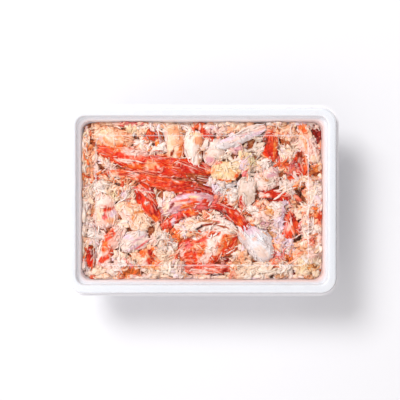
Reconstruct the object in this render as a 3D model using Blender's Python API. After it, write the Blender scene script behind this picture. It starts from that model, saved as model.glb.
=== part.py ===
"""A shut rectangular box of flaked king crab meat under a clear press-on lid.

The box is a white moulded tub with a deep rolled rim. The lid snaps over that rim and its panel lies close
over the meat: one uneven heap of flakes and shreds, with the large leg, claw and body pieces lying in it.
Shapes are worked out in millimetres and written to the meshes in metres. The origin is under the middle of
the base, +Z is up and +X runs along the box.
"""

import math

import bmesh
import bpy
import numpy as np

MM = 0.001  # metres in a millimetre
GAP = 0.3  # clearance between two pieces that touch
POCKET = GAP + 0.15  # how far a pocket's faceted wall stands off the piece in it

# The shut box, measured over the lid.
LENGTH = 205.0
WIDTH = 143.0
HEIGHT = 49.0
CORNER = 13.4  # corner radius of the lid's outer edge
CORNER_LEAST = 7.0  # corner radius of everything well inside that edge
CORNER_STEPS = 5  # flat steps round a quarter turn

# The rim. Every inset is measured inwards from the lid's outer edge.
SHEET = 0.6  # thickness of the lid
WALL = 1.0  # thickness of the tub
RIM_OUTER = 2.5  # inset of the tub rim's outer face
RIM_INNER = 8.6  # inset of the rim's inner face
RIM_TOP = HEIGHT - SHEET - GAP
RIM_FOOT = 42.0  # height of the rolled rim's lower edge
LEDGE = 43.2  # height of the ledge inside the rim
WALL_INSET = 11.6  # inset of the tub's inner wall at the ledge
WALL_LEAN = math.radians(8.0)
FLOOR_ROUND = 4.0  # radius between wall and floor
PANEL_INSET = 22.9  # where the lid's border steps down to its sunk middle panel
PANEL_SINK = 1.2

# The meat.
MEAT_LEVEL = 37.6  # mean height of the heap between the large pieces
MEAT_TOP = LEDGE + GAP - PANEL_SINK - 0.4  # nothing reaches the panel
CORE_CELLS = (26, 17)  # cells of the core's top along and across the box
HEAP_KEPT = 0.45  # share of its triangles that the fused heap keeps before the pockets are cut
UNEVEN = 0.17  # how much a piece may be fatter or thinner than its size says
CROWN = 1.12  # height of a piece's back over its middle, in half thicknesses
DRIFT = 0.02  # how far a piece's line wanders sideways, against its length
TRIES = 12  # places tried in a square before it is left bare
SEED = 41

# Colours (linear RGB) and roughness of each finish.
FINISHES = {
    "white_tub": ((0.86, 0.87, 0.90), 0.35),
    "clear_lid": ((0.90, 0.92, 0.94), 0.08),
    "cream_meat": ((0.86, 0.61, 0.44), 0.45),
    "red_meat": ((0.76, 0.09, 0.03), 0.35),
    "orange_meat": ((0.85, 0.24, 0.07), 0.40),
    "white_meat": ((0.83, 0.77, 0.76), 0.40),
}


def piece(at, turn, bend, size, top, taper=0.0, finish="cream_meat"):
    """A piece of meat lying along an arc.

    `at` is the arc's middle (x, y), `turn` its direction there and `bend` how far it turns along its length,
    in degrees. `size` is length, width and thickness, `top` the height it reaches, and `taper` the share by
    which its far end is wider than its middle.
    """
    return {"at": at, "turn": turn, "bend": bend, "size": size, "top": top, "taper": taper, "finish": finish}


# The pieces large enough to be seen as pieces, each a node of its own.
LARGE_PIECES = {
    "leg_long": piece((-35, 28), -13, 2, (95, 18, 13), 41.8, -0.12, "red_meat"),
    "leg_lower": piece((-33, 15), -11, -8, (86, 9.5, 8.5), 40.9, 0.3, "red_meat"),
    "claw_curled": piece((4, -33), 20, -10, (47, 31, 13), 41.0, 0.05, "orange_meat"),
    "white_lump": piece((41, -31), -49, -12, (36, 20, 12), 41.6, 0.12, "white_meat"),
    "red_crescent": piece((23, -9), -36, -78, (38, 9.5, 8.5), 40.8, 0.15, "red_meat"),
    "lilac_piece": piece((-12, -1), 12, -44, (44, 16, 11), 41.2, 0.1, "white_meat"),
    "lilac_under": piece((-18, -13), 24, -30, (34, 10, 9), 40.0, 0.05, "orange_meat"),
    "red_chunk": piece((-40, -2), -57, -18, (33, 15, 10), 40.9, -0.15, "red_meat"),
    "pale_bulb": piece((-67, 47), -6, -20, (31, 16, 9), 41.2),
    "knuckle_left": piece((-21, 44), 95, 10, (28, 17, 10), 41.4, 0, "white_meat"),
    "knuckle_mid": piece((-6, 39), 92, -10, (28, 14, 9), 41.3, 0.1, "white_meat"),
    "knuckle_right": piece((10, 36), 70, 20, (22, 16, 9), 41.0, 0, "white_meat"),
    "milky_strand": piece((27, 46.5), 22, 6, (46, 9, 5), 41.3, 0.1, "white_meat"),
    "cream_flake": piece((18, 22), 10, -8, (23, 15, 4.5), 41.5),
    "grey_flake": piece((34, 7), 84, 10, (22, 15, 5.5), 41.2, 0.1, "white_meat"),
    "pale_lump": piece((49, 16), 20, -20, (19, 17, 9), 41.3),
    "red_post": piece((52, 40), 96, -8, (21, 12, 9), 41.2, 0.1, "red_meat"),
    "red_streak": piece((55, 3), -4, 16, (25, 8.5, 7), 40.2, -0.1, "red_meat"),
    "red_flank": piece((67, -19), 100, 18, (22, 13, 9), 41.0, -0.1, "red_meat"),
    "orange_post": piece((75, 27), 100, -10, (19, 10, 8), 41.0, 0, "orange_meat"),
    "corner_leg": piece((80, 43), -70, -14, (32, 12.5, 10), 41.6, 0.2),
    "bottom_streak": piece((4, -52), 0, 10, (36, 8, 7), 40.6, 0.1, "red_meat"),
    "orange_chunk": piece((-42, -43), 45, 10, (16, 13, 9), 41.0, -0.2, "orange_meat"),
    "lilac_lump": piece((-51, -31), 26, -16, (23, 15, 9), 41.3, 0, "white_meat"),
    "cream_petal": piece((-52, -11), -38, 24, (30, 17, 8), 41.0, 0.1),
    "orange_crescent": piece((-71, -35), -116, 40, (35, 14, 10), 41.4, 0, "orange_meat"),
    "pink_lump": piece((-74, -8), 100, -16, (27, 20, 11), 41.4, 0, "white_meat"),
    "corner_red": piece((-83.5, -43), 96, -12, (18, 9, 8), 40.4, 0, "red_meat"),
}
# Lumps of the heap itself: as large, but of its own cream meat and grown together with it.
HEAP_LUMPS = {
    "cream_lump": piece((52, -9), -20, 20, (24, 16, 8), 40.9),
    "frayed_tuft": piece((83, 6), 98, 8, (22, 10, 7), 41.0, -0.2),
    "corner_lump": piece((79, -41), 60, 20, (20, 16, 8), 40.9),
    "bottom_strand": piece((44, -51.5), -2, 6, (46, 9, 7), 40.6),
    "pale_foot": piece((-68, -52), 10, 20, (17, 11, 8), 40.8),
}
# The ridge that curls over the claw piece and is one with it.
CLAW_CREST = piece((3, -17.5), 6, -84, (48, 8, 9), 41.9, 0.1, "orange_meat")


def material(finish):
    """The Principled material of one finish, made once."""
    if finish in bpy.data.materials:
        return bpy.data.materials[finish]
    colour, roughness = FINISHES[finish]
    made = bpy.data.materials.new(finish)
    made.use_nodes = True
    shader = made.node_tree.nodes["Principled BSDF"]
    shader.inputs["Base Color"].default_value = (*colour, 1.0)
    shader.inputs["Roughness"].default_value = roughness
    shader.inputs["Metallic"].default_value = 0.0
    return made


def mesh_object(name, points, faces, finish):
    """An object from points in millimetres, its faces turned outwards."""
    mesh = bpy.data.meshes.new(name)
    mesh.from_pydata((np.asarray(points) * MM).tolist(), [], faces)
    shape = bmesh.new()
    shape.from_mesh(mesh)
    bmesh.ops.recalc_face_normals(shape, faces=shape.faces)
    shape.to_mesh(mesh)
    shape.free()
    mesh.materials.append(material(finish))
    made = bpy.data.objects.new(name, mesh)
    bpy.context.scene.collection.objects.link(made)
    return made


def band_faces(rings, sides):
    """Quads between each ring of `sides` points and the next."""
    return [
        (
            ring * sides + side,
            ring * sides + (side + 1) % sides,
            (ring + 1) * sides + (side + 1) % sides,
            (ring + 1) * sides + side,
        )
        for ring in range(rings - 1)
        for side in range(sides)
    ]


# The box: rounded rectangles stacked along a profile.


def corner_radius(inset):
    return max(CORNER - 0.75 * inset, CORNER_LEAST)


def rounded_ring(inset, height):
    """Points round a rectangle with round corners, this far inside the lid's outer edge."""
    half = np.array([LENGTH / 2 - inset, WIDTH / 2 - inset])
    radius = corner_radius(inset)
    quarters = []
    for quarter, signs in enumerate([(1, 1), (-1, 1), (-1, -1), (1, -1)]):
        angle = np.radians(np.linspace(0, 90, CORNER_STEPS + 1) + 90 * quarter)
        arc = radius * np.column_stack([np.cos(angle), np.sin(angle)])
        quarters.append((half - radius) * signs + arc)
    ring = np.concatenate(quarters)
    return np.column_stack([ring, np.full(len(ring), height)])


def moulded(name, profile, finish):
    """A shell whose surface follows `profile`, rows of (inset, height), with a flat face at each end."""
    rings = [rounded_ring(inset, height) for inset, height in profile]
    sides = len(rings[0])
    faces = band_faces(len(rings), sides)
    faces.append(tuple(range(sides)))
    faces.append(tuple(range(sides * (len(rings) - 1), sides * len(rings))))
    made = mesh_object(name, np.concatenate(rings), faces, finish)
    made.data.shade_smooth()
    made.data.set_sharp_from_angle(angle=math.radians(35))
    return made


def wall_inset(height):
    """Inset of the tub's inner wall at a height: it leans inwards on the way down."""
    return WALL_INSET + (LEDGE - height) * math.tan(WALL_LEAN)


def floor_round(wall_face, floor, radius):
    """Profile rows of the quarter turn from the wall down onto the floor."""
    turns = np.radians([0, 30, 60, 90])
    return [(wall_face + radius * (1 - math.cos(t)), floor + radius * (1 - math.sin(t))) for t in turns]


def make_tub():
    """The white tub: base, leaning wall, ledge, and the rim that rolls out, over and down again."""
    foot = WALL + FLOOR_ROUND
    outside = floor_round(wall_inset(foot) - WALL, 0.0, FLOOR_ROUND + WALL)[::-1]
    under_rim = [
        (wall_inset(LEDGE - WALL) - WALL, LEDGE - WALL),
        (RIM_INNER - 0.2, LEDGE - WALL),
        (RIM_INNER - WALL + 0.1, RIM_TOP - WALL - 0.5),
        (RIM_INNER - WALL - 0.5, RIM_TOP - WALL),
        (RIM_OUTER + WALL + 0.9, RIM_TOP - WALL),
        (RIM_OUTER + WALL, RIM_TOP - WALL - 0.7),
        (RIM_OUTER + WALL - 0.1, RIM_FOOT),
        (RIM_OUTER, RIM_FOOT),
    ]
    over_rim = [
        (RIM_OUTER + 0.2, RIM_TOP - 1.2),
        (RIM_OUTER + 0.5, RIM_TOP - 0.3),
        (RIM_OUTER + 1.4, RIM_TOP),
        (RIM_INNER - 1.1, RIM_TOP),
        (RIM_INNER - 0.3, RIM_TOP - 0.4),
        (RIM_INNER, RIM_TOP - 1.2),
        (RIM_INNER + 0.3, LEDGE + 0.6),
        (RIM_INNER + 0.8, LEDGE),
        (WALL_INSET - 0.7, LEDGE),
        (WALL_INSET + 0.1, LEDGE - 0.7),
    ]
    inside = floor_round(wall_inset(foot), WALL, FLOOR_ROUND)
    return moulded("tub", outside + under_rim + over_rim + inside, "white_tub")


def make_lid():
    """The clear lid: sunk middle panel, border on the ledge, crown over the rim and a flared foot."""
    border = LEDGE + GAP + SHEET
    plug = RIM_INNER + GAP + 0.05
    skirt = RIM_OUTER - GAP
    top = [
        (PANEL_INSET + 0.5, border - PANEL_SINK),
        (PANEL_INSET - 0.4, border),
        (plug + SHEET + 1.1, border),
        (plug + SHEET + 0.4, border + 0.5),
        (plug + SHEET, HEIGHT - 1.0),
        (plug, HEIGHT - 0.25),
        (plug - 1.0, HEIGHT),
        (skirt + 1.0, HEIGHT),
        (skirt, HEIGHT - 0.4),
        (skirt - SHEET + 0.2, HEIGHT - 1.4),
        (skirt - SHEET, RIM_FOOT + 0.6),
        (skirt - SHEET - 0.4, RIM_FOOT + 0.2),
        (0.0, RIM_FOOT + 0.2),
    ]
    under = [
        (0.0, RIM_FOOT - SHEET + 0.2),
        (skirt - 0.4, RIM_FOOT - SHEET + 0.2),
        (skirt, RIM_FOOT),
        (skirt + 0.2, HEIGHT - SHEET - 0.9),
        (skirt + 0.6, HEIGHT - SHEET - 0.2),
        (skirt + 1.3, HEIGHT - SHEET),
        (plug - 1.05, HEIGHT - SHEET),
        (plug - 0.35, HEIGHT - SHEET - 0.3),
        (plug, HEIGHT - SHEET - 1.0),
        (plug + 0.3, LEDGE + GAP + 0.4),
        (plug + 0.95, LEDGE + GAP),
        (PANEL_INSET - 0.7, LEDGE + GAP),
        (PANEL_INSET + 0.2, LEDGE + GAP - PANEL_SINK),
    ]
    return moulded("lid", top + under, "clear_lid")


# The meat: lumps carried along an arc.


def arc_spine(shape, along):
    """Points and sideways directions of a piece's centre line; `along` runs from -1 at its tail to 1."""
    bend = math.radians(shape["bend"]) or 1e-6
    turn = math.radians(shape["turn"])
    heading = turn + bend * along / 2
    reach = shape["size"][0] / bend
    points = np.column_stack(
        [
            shape["at"][0] + reach * (np.sin(heading) - math.sin(turn)),
            shape["at"][1] - reach * (np.cos(heading) - math.cos(turn)),
        ]
    )
    return points, np.column_stack([-np.sin(heading), np.cos(heading)])


def lump(shape, seed, stations, sides, grow=0.0, blunt=2.6):
    """Points and faces of one piece of meat.

    Round each station of the arc runs an ellipse as wide and thick as the piece is there. Both follow
    (1 - |along|^blunt)^(1/blunt), so the ends close in a point, and `taper` makes the far end wider. A few
    seeded waves along and round it make it uneven. `grow` swells it evenly by that many millimetres.
    """
    length, width, thick = shape["size"]
    draw = np.random.default_rng(seed)
    phase = draw.uniform(0, 2 * math.pi, 4)
    stretched = dict(shape, size=(length + 2 * grow, width, thick))
    inner = np.sin(np.linspace(-1, 1, stations + 2)[1:-1] * math.pi / 2)
    around = np.linspace(0, 2 * math.pi, sides, endpoint=False)
    along, angle = np.meshgrid(inner, around, indexing="ij")
    waves = (
        0.45 * np.sin(2.3 * along + 2 * angle + phase[0])
        + 0.33 * np.sin(5.1 * along - angle + phase[1])
        + 0.22 * np.sin(3 * angle + phase[2])
    )
    uneven = 1 + UNEVEN * waves
    swell = (1 - np.abs(along) ** blunt) ** (1 / blunt) * (1 + shape["taper"] * along) * uneven
    spine, sideways = arc_spine(stretched, inner)
    across = (width / 2 * swell + grow) * np.cos(angle)
    up = (thick / 2 * swell + grow) * np.sin(angle)
    drift = DRIFT * length * np.sin(3.0 * inner + phase[3]) * (1 - inner**2)
    middle = shape["top"] - thick / 2 * CROWN
    plan = spine[:, None, :] + (across + drift[:, None])[..., None] * sideways[:, None, :]
    points = np.concatenate([plan, (middle + up)[..., None]], axis=2).reshape(-1, 3)
    tips, _ = arc_spine(stretched, np.array([-1.0, 1.0]))
    points = np.concatenate([points, np.column_stack([tips, [middle, middle]])])
    tail, head = len(points) - 2, len(points) - 1
    last = (stations - 1) * sides
    faces = [half for a, b, c, d in band_faces(stations, sides) for half in ((a, b, c), (a, c, d))]
    for side in range(sides):
        after = (side + 1) % sides
        faces.append((tail, after, side))
        faces.append((head, last + side, last + after))
    return points, faces


def fineness(shape):
    """Stations along a large piece and sides round it: longer pieces take more."""
    length = shape["size"][0]
    return 3 + int(length // 15), 8 if length > 27 else 6


def sealed_copy(thing):
    """The object's mesh with its modifiers applied, in place of its old one."""
    graph = bpy.context.evaluated_depsgraph_get()
    mesh = bpy.data.meshes.new_from_object(thing.evaluated_get(graph))
    thing.modifiers.clear()
    thing.data = mesh


def boolean_with(thing, others, operation, solver):
    """Joins or cuts one object with a list of others in one step, then removes them."""
    group = bpy.data.collections.new(operation.lower())
    bpy.context.scene.collection.children.link(group)
    for other in others:
        group.objects.link(other)
        bpy.context.scene.collection.objects.unlink(other)
    step = thing.modifiers.new(operation.title(), "BOOLEAN")
    step.operation = operation
    step.operand_type = "COLLECTION"
    step.collection = group
    step.solver = solver
    sealed_copy(thing)
    for other in others:
        bpy.data.objects.remove(other)
    bpy.data.collections.remove(group)


def keep_main_body(thing):
    """Keeps the largest connected body: loose scraps go, and a sealed hollow's own surface goes with them."""
    shape = bmesh.new()
    shape.from_mesh(thing.data)
    left = set(shape.verts)
    bodies = []
    while left:
        front = [left.pop()]
        body = set(front)
        while front:
            for edge in front.pop().link_edges:
                for vertex in edge.verts:
                    if vertex in left:
                        left.discard(vertex)
                        body.add(vertex)
                        front.append(vertex)
        bodies.append(body)
    bodies.sort(key=len)
    for body in bodies[:-1]:
        bmesh.ops.delete(shape, geom=list(body), context="VERTS")
    bmesh.ops.triangulate(shape, faces=shape.faces)
    shape.to_mesh(thing.data)
    shape.free()


def make_large_pieces():
    """Each large piece in its own node, cut back from those listed before it where they meet."""
    made = {}
    for number, (name, shape) in enumerate(LARGE_PIECES.items()):
        piece = mesh_object(name, *lump(shape, SEED + number, *fineness(shape)), shape["finish"])
        if name == "claw_curled":
            crest = mesh_object("crest", *lump(CLAW_CREST, SEED, 7, 8), shape["finish"])
            boolean_with(piece, [crest], "UNION", "EXACT")
        neighbours = [
            mesh_object("cutter", *swollen(other, index), "cream_meat")
            for index, other in enumerate(LARGE_PIECES)
            if index < number and near(LARGE_PIECES[other], shape)
        ]
        if neighbours:
            boolean_with(piece, neighbours, "DIFFERENCE", "MANIFOLD")
            keep_main_body(piece)
        made[name] = piece
    return made


def swollen(name, number):
    """A large piece swelled by the clearance."""
    shape = LARGE_PIECES[name]
    return lump(shape, SEED + number, *fineness(shape), grow=POCKET)


def near(first, second):
    """Whether two pieces can touch: their centre lines come closer than both half widths at their widest."""
    pair = (first, second)
    places = [arc_spine(shape, np.linspace(-1, 1, 25))[0] for shape in pair]
    apart = np.linalg.norm(places[0][:, None] - places[1][None], axis=2).min()
    widest = sum(shape["size"][1] / 2 * (1 + UNEVEN + abs(shape["taper"])) for shape in pair)
    return apart < widest + POCKET + 2.0


def meat_height(plan):
    """Height of the heap's core: a broad swell, lumps of a few centimetres and ridges of about one."""
    x, y = plan.T
    broad = 0.9 * np.cos(x / 45 + 0.6) * np.cos(y / 38)
    lumps = 0.8 * np.sin(x / 8.3 + 1.1 + 0.6 * np.sin(y / 11)) * np.sin(y / 7.1 + 0.4)
    ridges = 0.5 * np.sin((x + 1.6 * y) / 4.4 + 1.5 * np.sin(x / 19))
    return MEAT_LEVEL + broad + lumps + ridges


def round_corners(points, half, radius):
    """Pulls the corner points of a rectangular grid onto round corners, each towards its corner's centre."""
    over = np.clip(np.abs(points) - (half - radius), 0, None)
    far = over.max(axis=1)
    long = np.linalg.norm(over, axis=1)
    pull = np.divide(far, long, out=np.ones_like(far), where=long > 0)
    inner = np.minimum(np.abs(points), half - radius)
    return np.sign(points) * (inner + over * pull[:, None])


def make_core():
    """The heap's core: an uneven top on a grid, and sides that follow the tub's wall and floor."""
    cells_x, cells_y = CORE_CELLS
    inset = wall_inset(MEAT_LEVEL) + GAP + 0.3
    half = np.array([LENGTH / 2 - inset, WIDTH / 2 - inset])
    x, y = np.meshgrid(
        np.linspace(-half[0], half[0], cells_x + 1),
        np.linspace(-half[1], half[1], cells_y + 1),
        indexing="ij",
    )
    plan = round_corners(np.column_stack([x.ravel(), y.ravel()]), half, CORNER_LEAST)
    number = np.arange(len(plan)).reshape(cells_x + 1, cells_y + 1)
    edge = np.concatenate([number[:, 0], number[-1, 1:], number[-2::-1, -1], number[0, -2:0:-1]])
    height = meat_height(plan)
    layers = [np.column_stack([plan, height])]
    for inset_below, z in ((wall_inset(6.0) + GAP + 0.3, 6.0), (wall_inset(6.0) + 4.6, WALL + GAP)):
        shrink = (np.array([LENGTH / 2, WIDTH / 2]) - inset_below) / half
        layers.append(np.column_stack([plan[edge] * shrink, np.full(len(edge), z)]))
    faces = [
        (number[i, j], number[i + 1, j], number[i + 1, j + 1], number[i, j + 1])
        for i in range(cells_x)
        for j in range(cells_y)
    ]
    below = number.size + np.arange(2 * len(edge)).reshape(2, -1)
    for upper, lower in ((edge, below[0]), (below[0], below[1])):
        for k in range(len(edge)):
            after = (k + 1) % len(edge)
            faces.append((upper[k], lower[k], lower[after], upper[after]))
    faces.append(tuple(below[1]))
    faces = [tuple(int(v) for v in face) for face in faces]
    return mesh_object("flaked_meat", np.concatenate(layers), faces, "cream_meat")


def spread(draw, pitch, lengths, width, thick, rise):
    """Small pieces over the heap, one to a square of `pitch`, off the walls and outside the large pieces."""
    along = np.linspace(-1, 1, 21)
    covered = [
        (arc_spine(shape, along)[0], shape["size"][1] / 2 * (1 - along**4)[:, None])
        for shape in [*LARGE_PIECES.values(), *HEAP_LUMPS.values(), CLAW_CREST]
    ]
    inset = wall_inset(MEAT_LEVEL) + GAP + 0.3
    half = np.array([LENGTH / 2 - inset, WIDTH / 2 - inset])
    columns, rows = (2 * half // pitch).astype(int)
    placed = []
    for cell in draw.permutation(columns * rows):
        for _ in range(TRIES):
            corner = np.array([cell % columns, cell // columns])
            at = (corner + draw.uniform(0, 1, 2)) / (columns, rows) * 2 * half - half
            size = (draw.uniform(*lengths), draw.uniform(*width), draw.uniform(*thick))
            shape = piece(tuple(at), draw.uniform(0, 180), draw.uniform(-60, 60), size, 0.0)
            own, _ = arc_spine(shape, np.linspace(-1, 1, 7))
            past_corner = np.clip(np.abs(own) - (half - CORNER_LEAST), 0, None)
            if np.linalg.norm(past_corner, axis=1).max() > CORNER_LEAST - 0.6 * size[1]:
                continue
            if any((np.linalg.norm(line[:, None] - own, axis=2) < reach).any() for line, reach in covered):
                continue
            shape["top"] = min(meat_height(np.array([at]))[0] + rise * size[2], MEAT_TOP)
            placed.append(shape)
            break
    return placed


def make_heap():
    """The heap in one node: the core with flakes and shreds fused on, and a pocket for each large piece."""
    heap = make_core()
    draw = np.random.default_rng(SEED)
    flakes = spread(draw, 11.0, (8, 13), (4.5, 7.5), (4.5, 6.0), 0.70)
    shreds = spread(draw, 14.5, (11, 18), (1.8, 2.6), (2.2, 3.0), 1.2)
    small = []
    for kind, stations, sides in ((flakes, 3, 5), (shreds, 3, 4), (HEAP_LUMPS.values(), 4, 6)):
        for number, shape in enumerate(kind):
            small.append(mesh_object("small", *lump(shape, SEED + number, stations, sides), "cream_meat"))
    boolean_with(heap, small, "UNION", "MANIFOLD")
    fewer = heap.modifiers.new("Fewer faces", "DECIMATE")
    fewer.ratio = HEAP_KEPT
    sealed_copy(heap)
    pockets = [mesh_object("pocket", *swollen(name, k), "cream_meat") for k, name in enumerate(LARGE_PIECES)]
    pockets.append(mesh_object("pocket", *lump(CLAW_CREST, SEED, 7, 8, grow=POCKET), "cream_meat"))
    boolean_with(heap, pockets, "DIFFERENCE", "MANIFOLD")
    keep_main_body(heap)
    return heap


for leftover in list(bpy.data.objects):
    bpy.data.objects.remove(leftover)
make_tub()
make_lid()
make_large_pieces()
make_heap()
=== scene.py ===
"""King crab meat in a shut white tub: the looks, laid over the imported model.

The file follows the tub as it is filled and shut: the moulded tub, the body of the heap, the large leg,
claw and body pieces, the small flakes and shreds between them, and the clear lid. Shapes are worked out
in millimetres and written to the meshes in metres.
"""

import math

import bpy
import numpy as np
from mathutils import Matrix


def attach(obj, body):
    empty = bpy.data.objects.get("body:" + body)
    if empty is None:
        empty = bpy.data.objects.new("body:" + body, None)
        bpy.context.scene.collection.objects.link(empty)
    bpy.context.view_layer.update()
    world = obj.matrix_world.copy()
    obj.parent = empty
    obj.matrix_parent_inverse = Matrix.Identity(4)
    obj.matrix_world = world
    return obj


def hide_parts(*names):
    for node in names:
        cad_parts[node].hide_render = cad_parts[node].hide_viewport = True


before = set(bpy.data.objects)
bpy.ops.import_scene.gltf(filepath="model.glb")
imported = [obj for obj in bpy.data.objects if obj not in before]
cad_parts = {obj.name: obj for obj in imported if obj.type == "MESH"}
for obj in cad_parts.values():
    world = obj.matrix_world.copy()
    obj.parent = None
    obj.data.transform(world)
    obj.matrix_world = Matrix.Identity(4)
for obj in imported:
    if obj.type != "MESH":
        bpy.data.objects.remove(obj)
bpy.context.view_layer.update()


# The tub. Injection-moulded white polypropylene, about 1 mm thick: a flat base, walls that lean inwards on
# the way down, a ledge for the lid and a deep rim rolled out, over and down.
LENGTH, WIDTH = 205.0, 143.0  # over the lid's outer edge, mm
CORNER, CORNER_LEAST = 13.4, 7.0  # corner radius of that edge, and of everything well inside it
RIM_OUTER, RIM_INNER, RIM_TOP, RIM_FOOT = 2.5, 8.6, 48.1, 42.0  # insets of the rim's sides, then heights
LEDGE, WALL_INSET = 43.2, 11.6  # the ledge's height, and the inset at which the wall leaves it
WALL, WALL_LEAN = 1.0, math.tan(math.radians(8))  # the wall's thickness, and its lean for each mm down


def linear(tone):
    """Linear RGB of an sRGB hex colour."""
    shares = np.array([int(tone[k : k + 2], 16) for k in (0, 2, 4)]) / 255
    return np.where(shares <= 0.04045, shares / 12.92, ((shares + 0.055) / 1.055) ** 2.4)


def add(tree, kind, inputs=None, **settings):
    """Adds a node with its settings, and gives each input a value or a link from another's output."""
    node = tree.nodes.new(kind)
    for name, value in settings.items():
        setattr(node, name, value)
    for socket, value in (inputs or {}).items():
        if isinstance(value, bpy.types.NodeSocket):
            tree.links.new(value, node.inputs[socket])
        else:
            node.inputs[socket].default_value = value
    return node


def ranged(tree, value, start, end, low=0.0, high=1.0):
    """Output that goes from `low` to `high` while the value goes from `start` to `end`."""
    ends = {"Value": value, "From Min": start, "From Max": end, "To Min": low, "To Max": high}
    return add(tree, "ShaderNodeMapRange", ends).outputs["Result"]


def combined(tree, operation, *values):
    """Output of a maths node: the values, numbers or outputs, under one operation."""
    return add(tree, "ShaderNodeMath", dict(enumerate(values)), operation=operation).outputs["Value"]


def new_material(name):
    """An empty material and its node tree."""
    made = bpy.data.materials.new(name)
    made.use_nodes = True
    made.node_tree.nodes.clear()
    return made, made.node_tree


def softened(rows, steps=5):
    """A profile with its corners rounded.

    Each row is (inset, height, radius). A corner is cut back by its radius along both neighbouring edges,
    and at most by 0.45 of each, and a parabola with the corner as its control point joins the two cuts.
    """
    rows = np.array(rows, float)
    points, radius = rows[:, :2], rows[:, 2:]
    before = np.roll(points, 1, axis=0) - points
    after = np.roll(points, -1, axis=0) - points
    near, far = (np.linalg.norm(edge, axis=1, keepdims=True) for edge in (before, after))
    cut = np.minimum(radius, 0.45 * np.minimum(near, far))
    cut[[0, -1]] = 0
    start, end = points + before / near * cut, points + after / far * cut
    t = np.linspace(0, 1, steps + 1)[None, :, None]
    curve = (1 - t) ** 2 * start[:, None] + 2 * t * (1 - t) * points[:, None] + t**2 * end[:, None]
    return np.concatenate([points[:1], curve[1:-1].reshape(-1, 2), points[-1:]])


def round_the_box(profile, corner_steps=14):
    """Grid of points: the profile's rows (inset, height) carried round a rectangle with round corners.

    Along the first parameter run the profile's rows, along the second the way round. A row's rectangle is
    that far inside the lid's outer edge, and its corner radius shrinks by 0.75 of the inset, to a least.
    """
    inset, height = profile.T
    half = np.stack([LENGTH / 2 - inset, WIDTH / 2 - inset], axis=1)
    radius = np.maximum(CORNER - 0.75 * inset, CORNER_LEAST)[:, None, None]
    quarter = np.repeat(np.arange(4), corner_steps + 1)
    angle = np.radians(np.tile(np.linspace(0, 90, corner_steps + 1), 4) + 90 * quarter)
    corner = np.array([[1, 1], [-1, 1], [-1, -1], [1, -1]])[quarter]
    plan = (half[:, None] - radius) * corner + radius * np.stack([np.cos(angle), np.sin(angle)], axis=1)
    return np.concatenate([plan, np.broadcast_to(height[:, None, None], (*plan.shape[:2], 1))], axis=2)


def moulded(name, profile, made, outwards=True):
    """A closed piece from a profile carried round the box: quads between rows, a flat face at each end.

    Its attribute `inset` holds how far in from the lid's outer edge a point lies, in millimetres, and
    `inner` is 1 on the rows that follow the profile's highest one.
    """
    grid = round_the_box(profile)
    if not outwards:
        grid = grid[:, ::-1]
    rows, around = grid.shape[:2]
    row, side = np.meshgrid(np.arange(rows - 1), np.arange(around), indexing="ij")
    after = (side + 1) % around
    here, below = row * around, (row + 1) * around
    quads = np.stack([here + side, here + after, below + after, below + side], axis=-1).reshape(-1, 4)
    first = list(range(around))[::-1]
    last = list(range((rows - 1) * around, rows * around))
    mesh = bpy.data.meshes.new(name)
    mesh.from_pydata((grid.reshape(-1, 3) / 1000).tolist(), [], [*quads.tolist(), first, last])
    mesh.shade_smooth()
    mesh.set_sharp_from_angle(angle=math.radians(50))
    past_top = (np.arange(rows) > profile[:, 1].argmax()).astype(float)
    for attribute, values in (("inset", profile[:, 0]), ("inner", past_top)):
        stored = mesh.attributes.new(attribute, "FLOAT", "POINT")
        stored.data.foreach_set("value", np.repeat(values, around).astype(np.float32))
    mesh.materials.append(made)
    piece = bpy.data.objects.new(name, mesh)
    bpy.context.scene.collection.objects.link(piece)
    return piece


def wall_inset(height):
    """Inset of the tub's inner wall at a height: it leans inwards on the way down."""
    return WALL_INSET + (LEDGE - height) * WALL_LEAN


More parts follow.
